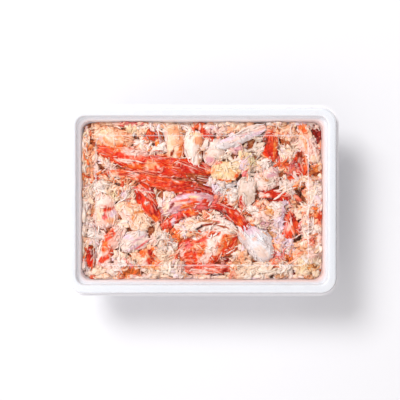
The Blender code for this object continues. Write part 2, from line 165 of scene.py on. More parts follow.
def moulded_polypropylene():
    """White polypropylene from a polished mould: satin, milky enough to glow a little at thin edges.

    The ledge inside the rim is tinted a pinkish grey, most of all towards +X and -Y.
    """
    made, tree = new_material("moulded_polypropylene")
    place = add(tree, "ShaderNodeTexCoord").outputs["Object"]
    flow = add(tree, "ShaderNodeTexNoise", {"Vector": place, "Scale": 60.0, "Detail": 2.0})
    skin = add(tree, "ShaderNodeTexNoise", {"Vector": place, "Scale": 1600.0, "Detail": 2.0})
    pigment = add(tree, "ShaderNodeMix", data_type="RGBA")
    pigment.inputs["A"].default_value = (*linear("E3E4E9"), 1)
    pigment.inputs["B"].default_value = (*linear("DDDFE5"), 1)
    tree.links.new(flow.outputs["Fac"], pigment.inputs["Factor"])
    inset = add(tree, "ShaderNodeAttribute", attribute_name="inset").outputs["Fac"]
    inner = add(tree, "ShaderNodeAttribute", attribute_name="inner").outputs["Fac"]
    # The ledge inside the rim is tinted pinkish grey, more strongly towards +X and -Y.
    on_ledge = combined(tree, "MULTIPLY", ranged(tree, inset, RIM_INNER + 0.6, WALL_INSET - 0.4), inner)
    towards_plus_x_minus_y = add(tree, "ShaderNodeVectorMath", {0: place, 1: (0.7, -0.7, 0)}, operation="DOT_PRODUCT")
    ledge_tint = combined(tree, "MULTIPLY", on_ledge, ranged(tree, towards_plus_x_minus_y.outputs["Value"], -0.03, 0.035, 0.4))
    tinted_skin = add(tree, "ShaderNodeMix", {"Factor": ledge_tint}, data_type="RGBA")
    tree.links.new(pigment.outputs["Result"], tinted_skin.inputs["A"])
    tinted_skin.inputs["B"].default_value = (*linear("DCBEBA"), 1)
    gloss = ranged(tree, flow.outputs["Fac"], 0, 1, 0.30, 0.42)
    dents = add(tree, "ShaderNodeBump", {"Height": skin.outputs[0], "Strength": 0.12, "Distance": 0.00004})
    shader = add(
        tree,
        "ShaderNodeBsdfPrincipled",
        {
            "Base Color": tinted_skin.outputs["Result"],
            "Roughness": gloss,
            "Normal": dents.outputs["Normal"],
            "IOR": 1.49,
            "Subsurface Weight": 0.7,
            "Subsurface Radius": (1.0, 0.9, 0.85),
            "Subsurface Scale": 0.005,
        },
    )
    add(tree, "ShaderNodeOutputMaterial", {"Surface": shader.outputs["BSDF"]})
    return made


tub_profile = softened(
    [
        (wall_inset(0) + 30, 0.0, 0),
        (wall_inset(0) - WALL, 0.0, 4.5),
        (wall_inset(LEDGE - WALL) - WALL, LEDGE - WALL, 0.8),
        (RIM_INNER - 0.2, LEDGE - WALL, 0.4),
        (RIM_INNER - WALL, RIM_TOP - WALL, 0.9),
        (RIM_OUTER + WALL, RIM_TOP - WALL, 1.4),
        (RIM_OUTER + WALL, RIM_FOOT, 0.3),
        (RIM_OUTER, RIM_FOOT, 0.3),
        (RIM_OUTER + 0.1, RIM_TOP, 1.5),
        (RIM_INNER - 0.2, RIM_TOP, 1.1),
        (RIM_INNER + 0.3, LEDGE, 0.7),
        (WALL_INSET, LEDGE, 0.8),
        (wall_inset(WALL), WALL, 3.8),
        (wall_inset(WALL) + 30, WALL, 0),
    ]
)
tub = moulded("tub_white", tub_profile, moulded_polypropylene())
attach(tub, "root")
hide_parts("tub")


# The heap's body. Under the pieces that show lies packed flaked meat: an uneven top, sunk here by as much
# as the loose flakes over it stand proud, and sides that follow the tub.
TONES = {
    "cream": "F6D7C0", "peach": "F5BC98", "blush": "F4D0C4", "milk": "F5E3DA", "ivory": "F6E1D0",
    "pearl": "EDD8CE", "lilac": "EBD2DA", "mauve": "E2B4B8", "rose": "EA8480", "pink": "F28468",
    "straw": "F2D6B2", "amber": "E69A58", "olive": "E0CCA6", "grey": "E2CDC0", "mist": "E4D8D6",
    "frost": "E9E6E8", "fawn": "D49A72", "orange": "F0863E", "coral": "EA6E38", "vermilion": "E65A22",
    "scarlet": "D84616", "crimson": "C43210", "garnet": "9C1E06", "maroon": "84280C", "rust": "B65822",
    # Umber is laid only as painted shade, in gaps and under folds.
    "umber": "6E3014",
}
TONES = {name: linear(tone) for name, tone in TONES.items()}
MEAN_HEIGHT = 37.6  # of the heap's top, mm


def grain(u, v, seed, wrap=None):
    """Smooth noise from -1 to 1 at (u, v), which are measured in cells.

    Seeded random heights stand at the whole numbers, joined both ways by 3t^2 - 2t^3. With `wrap`, v
    repeats after that many cells.
    """
    table = np.random.default_rng(seed).uniform(-1, 1, (97, 97))
    i, j = np.floor(u).astype(int), np.floor(v).astype(int)
    s, t = u - i, v - j
    s, t = s * s * (3 - 2 * s), t * t * (3 - 2 * t)
    here, next_one = (j % 97, (j + 1) % 97) if wrap is None else (j % wrap, (j + 1) % wrap)
    low = table[i % 97, here] * (1 - s) + table[(i + 1) % 97, here] * s
    high = table[i % 97, next_one] * (1 - s) + table[(i + 1) % 97, next_one] * s
    return low * (1 - t) + high * t


def meat_height(x, y):
    """Height of the heap: a broad swell, lumps of a few centimetres and ridges of about one."""
    broad = 0.9 * np.cos(x / 45 + 0.6) * np.cos(y / 38)
    lumps = 0.8 * np.sin(x / 8.3 + 1.1 + 0.6 * np.sin(y / 11)) * np.sin(y / 7.1 + 0.4)
    ridges = 0.5 * np.sin((x + 1.6 * y) / 4.4 + 1.5 * np.sin(x / 19))
    return MEAN_HEIGHT + broad + lumps + ridges


def written(name, points, triangles, tone, fibres, made):
    """An object from points in mm, triangles, one colour a point and one fibre position a corner."""
    mesh = bpy.data.meshes.new(name)
    mesh.vertices.add(len(points))
    mesh.vertices.foreach_set("co", (points / 1000).astype(np.float32).ravel())
    mesh.loops.add(triangles.size)
    mesh.loops.foreach_set("vertex_index", triangles.astype(np.int32).ravel())
    mesh.polygons.add(len(triangles))
    mesh.polygons.foreach_set("loop_start", np.arange(0, triangles.size, 3, dtype=np.int32))
    mesh.update(calc_edges=True)
    mesh.shade_smooth()
    colour = mesh.attributes.new("tone", "FLOAT_COLOR", "POINT")
    full = np.concatenate([tone, np.ones((len(points), 1))], axis=1)
    colour.data.foreach_set("color", full.astype(np.float32).ravel())
    mesh.uv_layers.new(name="fibres")
    mesh.uv_layers["fibres"].data.foreach_set("uv", fibres.astype(np.float32).ravel())
    mesh.materials.append(made)
    mesh.validate()
    piece = bpy.data.objects.new(name, mesh)
    bpy.context.scene.collection.objects.link(piece)
    return piece


def crab_flesh(name, depth, roughness, shaded_and_mottled=1.0):
    """Cooked crab flesh: bundles of fibres about half a millimetre thick, moist and a little see-through.

    The piece's own colour darkens and deepens in the hollows between fibres, as painted shade, and pales on
    their ridges, as a painted highlight, mixed with random mottling, all scaled by `shaded_and_mottled`.
    `depth` is how far light wanders in it, in metres.
    """
    made, tree = new_material(name)
    tone = add(tree, "ShaderNodeAttribute", attribute_name="tone").outputs["Color"]
    along = add(tree, "ShaderNodeUVMap", uv_map="fibres").outputs["UV"]
    place = add(tree, "ShaderNodeTexCoord").outputs["Object"]
    # The fibre map is in millimetres: 5 between changes along a fibre, 0.7 between fibres.
    combed = add(tree, "ShaderNodeMapping", {"Vector": along, "Scale": (1 / 5, 1 / 0.7, 1)})
    fibre = add(
        tree,
        "ShaderNodeTexNoise",
        {"Vector": combed.outputs["Vector"], "Scale": 1.0, "Detail": 3.0, "Roughness": 0.6},
    )
    mottle = add(tree, "ShaderNodeTexNoise", {"Vector": place, "Scale": 420.0, "Detail": 2.0})
    # Painted shade in the fibres' hollows and a painted highlight on their ridges, mixed with random
    # mottling.
    mixed = combined(tree, "ADD", fibre.outputs["Fac"], mottle.outputs["Fac"])
    fibre_shade_and_mottle = ranged(tree, mixed, 0.72, 1.28, 1 + 0.55 * shaded_and_mottled, 1 - 0.28 * shaded_and_mottled)
    colour = add(tree, "ShaderNodeGamma", {"Color": tone, "Gamma": fibre_shade_and_mottle})
    relief = add(tree, "ShaderNodeBump", {"Height": fibre.outputs[0], "Strength": 0.6, "Distance": 0.0003})
    wet = ranged(tree, mottle.outputs["Fac"], 0.3, 0.7, roughness - 0.1, roughness + 0.15)
    shader = add(
        tree,
        "ShaderNodeBsdfPrincipled",
        {
            "Base Color": colour.outputs["Color"],
            "Roughness": wet,
            "Normal": relief.outputs["Normal"],
            "IOR": 1.26,
            "Subsurface Weight": 0.08,
            "Subsurface Radius": (1.0, 0.6, 0.45),
            "Subsurface Scale": depth,
        },
    )
    add(tree, "ShaderNodeOutputMaterial", {"Surface": shader.outputs["BSDF"]})
    return made


SUNK = 2.6  # mm that the body lies below the heap's own height, under the loose flakes
MEAT_INSET = wall_inset(MEAN_HEIGHT) + 0.6
HALF = np.array([LENGTH / 2 - MEAT_INSET, WIDTH / 2 - MEAT_INSET])


def heap_body(cells=(176, 114)):
    """Points and triangles of the heap's body.

    The top is a grid over the rectangle, each point drawn in along the line to its corner's centre where
    the corner is round, at the heap's height less the sink, with crumbs 1.5 to 3 mm across. Two more rings
    under its edge follow the wall down to the floor, and the last is closed by a fan.
    """
    x, y = np.meshgrid(*(np.linspace(-h, h, n + 1) for h, n in zip(HALF, cells)), indexing="ij")
    plan = np.stack([x, y], axis=-1)
    over = np.clip(np.abs(plan) - (HALF - CORNER_LEAST), 0, None)
    reach = np.linalg.norm(over, axis=-1, keepdims=True)
    pull = np.divide(over.max(axis=-1, keepdims=True), reach, out=np.ones_like(reach), where=reach > 0)
    plan = np.sign(plan) * (np.minimum(np.abs(plan), HALF - CORNER_LEAST) + over * pull)
    x, y = plan[..., 0], plan[..., 1]
    crumbs = 0.9 * np.abs(grain(x / 3.1, y / 3.1, 3)) + 0.5 * grain(x / 1.5, y / 1.5, 4)
    top = np.concatenate([plan, (meat_height(x, y) - SUNK + crumbs)[..., None]], axis=-1)
    number = np.arange(x.size).reshape(x.shape)
    edge = np.concatenate([number[:, 0], number[-1, 1:], number[-2::-1, -1], number[0, -2:0:-1]])
    flat = top.reshape(-1, 3)
    rings = []
    for inset, height in ((wall_inset(6.0) + 0.6, 6.0), (wall_inset(6.0) + 5.0, WALL + 0.4)):
        ring = flat[edge, :2] * (np.array([LENGTH / 2, WIDTH / 2]) - inset) / HALF
        rings.append(np.column_stack([ring, np.full(len(edge), height)]))
    points = np.concatenate([flat, *rings, [[0, 0, WALL + 0.4]]])
    a, b, c, d = number[:-1, :-1], number[1:, :-1], number[1:, 1:], number[:-1, 1:]
    triangles = [np.stack(t, axis=-1).reshape(-1, 3) for t in ((a, b, c), (a, c, d))]
    step = np.arange(len(edge))
    after = (step + 1) % len(edge)
    first, second = x.size + step, x.size + len(edge) + step
    centre = np.full(len(edge), len(points) - 1)
    for upper, lower in ((edge, first), (first, second)):
        triangles.append(np.stack([upper, lower, lower[after]], axis=1))
        triangles.append(np.stack([upper, lower[after], upper[after]], axis=1))
    triangles.append(np.stack([second, centre, second[after]], axis=1))
    return points, np.concatenate(triangles)


points, triangles = heap_body()
# Painted shade: the body is coloured a darker rust where it lies low, in its hollows and down its sides,
# and fawn on its crumbs' tops.
shade = np.clip((points[:, 2] - meat_height(points[:, 0], points[:, 1]) + SUNK) / 1.2, 0, 1)[:, None]
tone = TONES["rust"] * 0.8 * (1 - shade) + TONES["fawn"] * shade
packed_flesh = crab_flesh("packed_crab_flesh", 0.001, 0.5)
body = written("heap_body", points, triangles, tone, points[triangles.ravel(), :2], packed_flesh)
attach(body, "root")
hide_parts("flaked_meat")


# The red pieces. Merus and shoulder meat of the leg: long bundles of fibres, their outer side stained red
# by the skin that lay against the shell, white to pink inside, and frayed where they were broken.
PITCH = 0.6  # spacing of a large piece's points, mm
UNEVEN, DRIFT = 0.17, 0.02  # how far a piece swells and strays, as shares of its width and its length
CROWN = 1.12  # its middle lies this many half thicknesses under its top


def arc(at, turn, bend, length, along):
    """Points and headings of arcs.

    `at` is an arc's middle, `turn` its heading there and `bend` how far it turns over its length, in
    degrees. `along` runs from -1 at its tail to 1 at its head.
    """
    turn, bend = np.radians(turn), np.radians(bend) + 1e-6
    heading = turn + bend * along / 2
    reach = length / bend
    x = at[0] + reach * (np.sin(heading) - np.sin(turn))
    y = at[1] - reach * (np.cos(heading) - np.cos(turn))
    return x, y, heading


def phases(shape):
    """Where the waves that make a large piece uneven begin."""
    return np.random.default_rng(shape["seed"]).uniform(0, 2 * math.pi, 4)


def on_piece(shape, along, angle, lift=0.0):
    """Points of a large piece's surface, `lift` mm off it.

    Round each place of the arc runs an ellipse as wide and thick as the piece is there. Both follow
    (1 - |along|^2.6)^(1/2.6), so the ends close, and the taper makes the head wider. Three seeded waves
    make it uneven, and the line drifts a little sideways.
    """
    length, width, thick = shape["size"]
    phase = phases(shape)
    waves = (
        0.45 * np.sin(2.3 * along + 2 * angle + phase[0])
        + 0.33 * np.sin(5.1 * along - angle + phase[1])
        + 0.22 * np.sin(3 * angle + phase[2])
    )
    close = np.clip(1 - np.abs(along) ** 2.6, 0, None) ** (1 / 2.6)
    swell = close * (1 + shape["taper"] * along) * (1 + UNEVEN * waves)
    x, y, heading = arc(shape["at"], shape["turn"], shape["bend"], length, along)
    across = (width / 2 * swell + lift) * np.cos(angle)
    across = across + DRIFT * length * np.sin(3 * along + phase[3]) * (1 - along**2)
    z = shape["top"] - thick / 2 * CROWN + (thick / 2 * swell + lift) * np.sin(angle)
    return np.stack([x - across * np.sin(heading), y + across * np.cos(heading), z], axis=-1)


def tube_faces(stations, sides):
    """Triangles of a tube closed by a point at each end, and each corner's station and side.

    Sides are counted past the seam there, so that a fibre map runs on over it. The tail's point comes after
    the rings, the head's after that.
    """
    i, j = (n.ravel() for n in np.meshgrid(np.arange(stations - 1), np.arange(sides), indexing="ij"))
    k = np.arange(sides)
    tail, head = np.full(sides, -1), np.full(sides, stations)
    first, last = 0 * k, 0 * k + stations - 1
    station = [(i, i, i + 1), (i, i + 1, i + 1), (tail, first, first), (head, last, last)]
    side = [(j, j + 1, j + 1), (j, j + 1, j), (k, k + 1, k), (k, k, k + 1)]
    station, side = (np.concatenate([np.stack(t, axis=1) for t in part]) for part in (station, side))
    vertex = station * sides + side % sides
    vertex[station < 0] = stations * sides
    vertex[station == stations] = stations * sides + 1
    return vertex, station, side


def gathered(kinds):
    """Joins lumps of several kinds into the arrays of one mesh.

    Each kind is (grid of points, grid of colours, mm along, mm round), and the grids' shape is
    (pieces, stations, sides, 3). A lump's tips stand off the middle of its end rings by a third of the
    last step.
    """
    points, tones, faces, maps, count = [], [], [], [], 0
    for grid, tone, along, around in kinds:
        number, stations, sides = grid.shape[:3]
        ends = grid.mean(axis=2)
        tail = ends[:, 0] + 0.35 * (ends[:, 0] - ends[:, 1])
        head = ends[:, -1] + 0.35 * (ends[:, -1] - ends[:, -2])
        tips = np.stack([tail, head], axis=1)
        points.append(np.concatenate([grid.reshape(number, -1, 3), tips], axis=1).reshape(-1, 3))
        tip_tones = tone[:, [0, -1]].mean(axis=2)
        tones.append(np.concatenate([tone.reshape(number, -1, 3), tip_tones], axis=1).reshape(-1, 3))
        vertex, station, side = tube_faces(stations, sides)
        start = count + np.arange(number)[:, None, None] * (stations * sides + 2)
        faces.append((vertex + start).reshape(-1, 3))
        u = along[:, None, None] * (station / (stations - 1))
        v = around[:, None, None] * (side / sides) + 7.3 * np.arange(number)[:, None, None]
        maps.append(np.stack([u, v], axis=-1).reshape(-1, 2))
        count += number * (stations * sides + 2)
    return np.concatenate(points), np.concatenate(faces), np.concatenate(tones), np.concatenate(maps)


def stained(base, x, y, marks, ragged):
    """Lays marks of colour over a base colour.

    A mark is an ellipse: its middle, heading, half length, half width and tone. It fades out over the last
    third of its reach, and `ragged` pushes that edge in and out.
    """
    colour = base
    for middle_x, middle_y, turn, long, wide, tone in marks:
        c, s = math.cos(math.radians(turn)), math.sin(math.radians(turn))
        u = ((x - middle_x) * c + (y - middle_y) * s) / long
        v = ((y - middle_y) * c - (x - middle_x) * s) / wide
        weight = np.clip((1.2 + ragged - np.hypot(u, v)) / 0.4, 0, 1)[..., None]
        colour = colour * (1 - weight) + TONES[tone] * weight
    return colour


def whole_piece(shape, strands, frays, crumbs, relief, grit, paling=1.0):
    """Kinds of lump that make one large piece.

    Its body is the piece's surface with furrows between its fibres: the size of smooth noise that is
    stretched along the piece, in bundles 3.4 mm wide and fibres 1.5 mm wide, plus torn chips of 2.6 mm and
    curds of 1.5 mm. `relief` scales the fibres and `grit` the curds. Over it lie `strands` long strands and
    `crumbs` short ones for each square millimetre, and `frays` loose ends for each millimetre of its width.
    """
    length, width, thick = shape["size"]
    girth = math.pi * (width + thick) / 2
    stations, sides = int(length / PITCH), int(girth / PITCH)
    along = np.sin(np.linspace(-1, 1, stations + 2)[1:-1] * math.pi / 2)[:, None]
    angle = np.linspace(0, 2 * math.pi, sides, endpoint=False)[None, :]
    turns = angle / (2 * math.pi)
    mm = along * length / 2
    seed = shape["seed"]
    meander = 1.1 * grain(mm / 9 + 0 * turns, turns * 5, seed + 100, 5)
    wide_one, fine_one, chip, curd = (max(4, round(girth / size)) for size in (3.4, 1.5, 2.6, 1.5))
    bundles = np.abs(grain(mm / 15, turns * wide_one + meander, seed + 200, wide_one))
    fibres = np.abs(grain(mm / 6, turns * fine_one + 2 * meander, seed + 300, fine_one))
    chips = grain(mm / 2.6 + 0 * turns, turns * chip, seed + 400, chip)
    curds = grain(mm / 1.5 + meander, turns * curd + meander, seed + 450, curd)
    height = relief * (1.2 * bundles + 0.6 * fibres + 0.4 * chips - 0.7) + grit * 0.5 * curds
    body = on_piece(shape, along + 0 * angle, angle + 0 * along, height * (1 - along**8))
    ragged = 0.35 * grain(mm / 5, turns * fine_one + 2 * meander, seed + 500, fine_one)
    ragged = ragged + 0.3 * chips + 0.25 * curds
    base = np.broadcast_to(TONES[shape["ground"]], body.shape)
    tone = stained(base, body[..., 0], body[..., 1], shape["marks"], ragged)
    # Painted shade: the colour darkens and deepens in the furrows between fibres and curds. Painted
    # highlight: it pales towards milk on the raised curds and chips.
    furrow_shade = np.clip(1.1 - 1.0 * fibres - 0.5 * bundles - 0.7 * grit * curds, 0, 1.2)[..., None]
    tone = tone ** (1 + 0.55 * furrow_shade)
    curd_highlight = paling * np.clip(grit * curds + 0.6 * chips - 0.35, 0, 0.5)[..., None]
    tone = tone + (TONES["milk"] - tone) * curd_highlight
    draw = np.random.default_rng(seed + 600)
    area = length * width
    return [
        (body[None], tone[None], np.array([length]), np.array([girth])),
        laid(shape, draw, int(strands * area), (4, 17), (0.25, 0.8), 0.28, 9, paling),
        laid(shape, draw, int(crumbs * area), (1.6, 4.5), (0.45, 0.95), 1.5, 5, paling),
        frayed(shape, draw, int(frays * width), paling),
    ]


def frayed(shape, draw, number, paling):
    """Kind of strands that stick out of a large piece's ends.

    A strand follows the surface up to 0.93 of the way to the end, then goes straight on, fanned out by as
    much as half a radian. Its tip rises or droops with the cube of its length.
    """
    length = shape["size"][0]
    one = (number, 1)
    t = np.linspace(0, 1, 11)[None, :]
    end = draw.choice([-1, 1], number)[:, None]
    place = 0.7 * end + end * draw.uniform(0.18, 0.42, one) * t
    way = draw.uniform(0.08, 0.92, one) * math.pi + draw.uniform(-0.3, 0.3, one) * t
    lift = 0.25 + draw.uniform(-0.6, 0.4, one) * t**3
    kept = np.clip(place, -0.93, 0.93)
    path = on_piece(shape, kept, way, lift)
    heading = arc(shape["at"], shape["turn"], shape["bend"], length, kept)[2]
    beyond = (place - kept) * length / 2
    fan = draw.uniform(-0.5, 0.5, one)
    path[..., 0] += beyond * np.cos(heading + fan)
    path[..., 1] += beyond * np.sin(heading + fan)
    radius = draw.uniform(0.3, 0.75, one) * np.sqrt(np.clip(1.15 - t**2, 0, 1))
    return strand_kind(path, radius, laid_tones(shape, draw, path, paling))


def laid_tones(shape, draw, path, paling):
    """Colours of strands on a large piece: its own at that place, most of them paler and a fifth deeper."""
    number = (len(path), 1)
    base = np.broadcast_to(TONES[shape["ground"]], path.shape)
    hue = stained(base, path[..., 0], path[..., 1], shape["marks"], draw.uniform(-0.4, 0.3, number))
    pale = (0.6 * paling * draw.uniform(0, 1, number) ** (2.5 - paling))[..., None]
    deep = (draw.uniform(0, 1, number) > 0.8)[..., None]
    return np.where(deep, hue**1.25, hue + (TONES["milk"] - hue) * pale)


def laid(shape, draw, number, lengths, radii, wander, stations, paling):
    """Kind of rods that lie on a large piece's upper side.

    A rod runs on the piece's surface, half sunk in it, at a heading within `wander` radians of the piece's
    own. Its radius follows (1 - |t|^3)^(1/2) and is uneven, and some rods peel off at their far end.
    """
    length, width, thick = shape["size"]
    one = (number, 1)
    t = np.linspace(-1, 1, stations)[None, :]
    reach, way = draw.uniform(*lengths, one), draw.uniform(-wander, wander, one)
    place = draw.uniform(-0.93, 0.93, one) + reach / length * np.cos(way) * t
    angle = draw.uniform(0.06, 0.94, one) * math.pi + 2 * reach / (width + thick) * np.sin(way) * t
    radius = draw.uniform(*radii, one)
    peel = 0.2 * draw.uniform(0, 1, one) ** 3 * reach * np.clip(t, 0, 1) ** 2
    path = on_piece(shape, np.clip(place, -0.96, 0.96), angle, 0.3 * radius + peel)
    uneven = 1 + 0.25 * draw.uniform(-1, 1, (number, stations))
    closed = np.sqrt(np.clip(1 - np.abs(t) ** 3, 0.2, 1))
    return strand_kind(path, radius * closed * uneven, laid_tones(shape, draw, path, paling))


def strand_kind(path, radius, hue, sides=5):
    """Tubes along paths: round each point of a path runs a ring of that radius, square to the path."""
    ahead = np.gradient(path, axis=1)
    ahead /= np.linalg.norm(ahead, axis=-1, keepdims=True) + 1e-9
    left = np.stack([-ahead[..., 1], ahead[..., 0], 0 * ahead[..., 0]], axis=-1)
    left /= np.linalg.norm(left, axis=-1, keepdims=True) + 1e-9
    up = np.cross(ahead, left)
    angle = np.linspace(0, 2 * math.pi, sides, endpoint=False)[:, None]
    ring = np.cos(angle) * left[:, :, None] + np.sin(angle) * up[:, :, None]
    grid = path[:, :, None] + radius[:, :, None, None] * ring
    tone = np.broadcast_to(hue[:, :, None], grid.shape)
    steps = np.linalg.norm(np.diff(path, axis=1), axis=-1).sum(axis=1)
    return grid, tone, steps, 2 * math.pi * radius.max(axis=1)


CEILING = 42.1  # mm, just under the lid's panel


def kept_inside(points):
    """Points held under the lid and within the tub's leaning wall."""
    points[:, 2] = np.minimum(points[:, 2], CEILING)
    wall = np.array([LENGTH / 2, WIDTH / 2]) - wall_inset(points[:, 2:]) - 0.12
    over = np.clip(np.abs(points[:, :2]) - (wall - CORNER_LEAST), 0, None)
    reach = np.linalg.norm(over, axis=1, keepdims=True)
    held = over * np.minimum(1, CORNER_LEAST / np.maximum(reach, 1e-6))
    kept = np.minimum(np.abs(points[:, :2]), wall - CORNER_LEAST) + held
    points[:, :2] = np.sign(points[:, :2]) * kept
    return points


CELL = 0.8  # mm: the heap's heights are kept on a grid of this pitch while pieces are laid on it
CRUMB_RISE, PROUD = 0.5, 0.5  # mm: the crumbs' height on the body, and the least a covering piece stands up
plan = np.meshgrid(*(np.arange(-h, h + CELL, CELL) for h in HALF), indexing="ij")
heights = meat_height(*plan) - SUNK + CRUMB_RISE
occupied = np.zeros(heights.shape, bool)


def cells_of(x, y):
    """Cells of the height grid that hold these places."""
    i = np.clip(((x + HALF[0]) / CELL).round().astype(int), 0, heights.shape[0] - 1)
    j = np.clip(((y + HALF[1]) / CELL).round().astype(int), 0, heights.shape[1] - 1)
    return i, j


leg_flesh = crab_flesh("red_skinned_leg_flesh", 0.0014, 0.36)


def lay_large(shapes, made, slot, **looks):
    """Makes each large piece in its node's place and raises the heap's heights under it.

    A piece with a crest has a second, smaller lump along its edge. Cells where the piece stands proud of
    the heap count as occupied.
    """
    for name, shape in shapes.items():
        kinds = whole_piece(shape, **looks)
        if "crest" in shape:
            kinds += whole_piece(shape["crest"], **looks)
        points, triangles, tones, maps = gathered(kinds)
        piece = written(name + "_meat", kept_inside(points), triangles, tones, maps, made)
        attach(piece, "root")
        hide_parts(name)
        body = kinds[0][0].reshape(-1, 3)
        i, j = cells_of(body[:, 0], body[:, 1])
        raised = body[:, 2] > heights[i, j] + PROUD
        np.maximum.at(heights, (i, j), body[:, 2])
        occupied[i[raised], j[raised]] = True


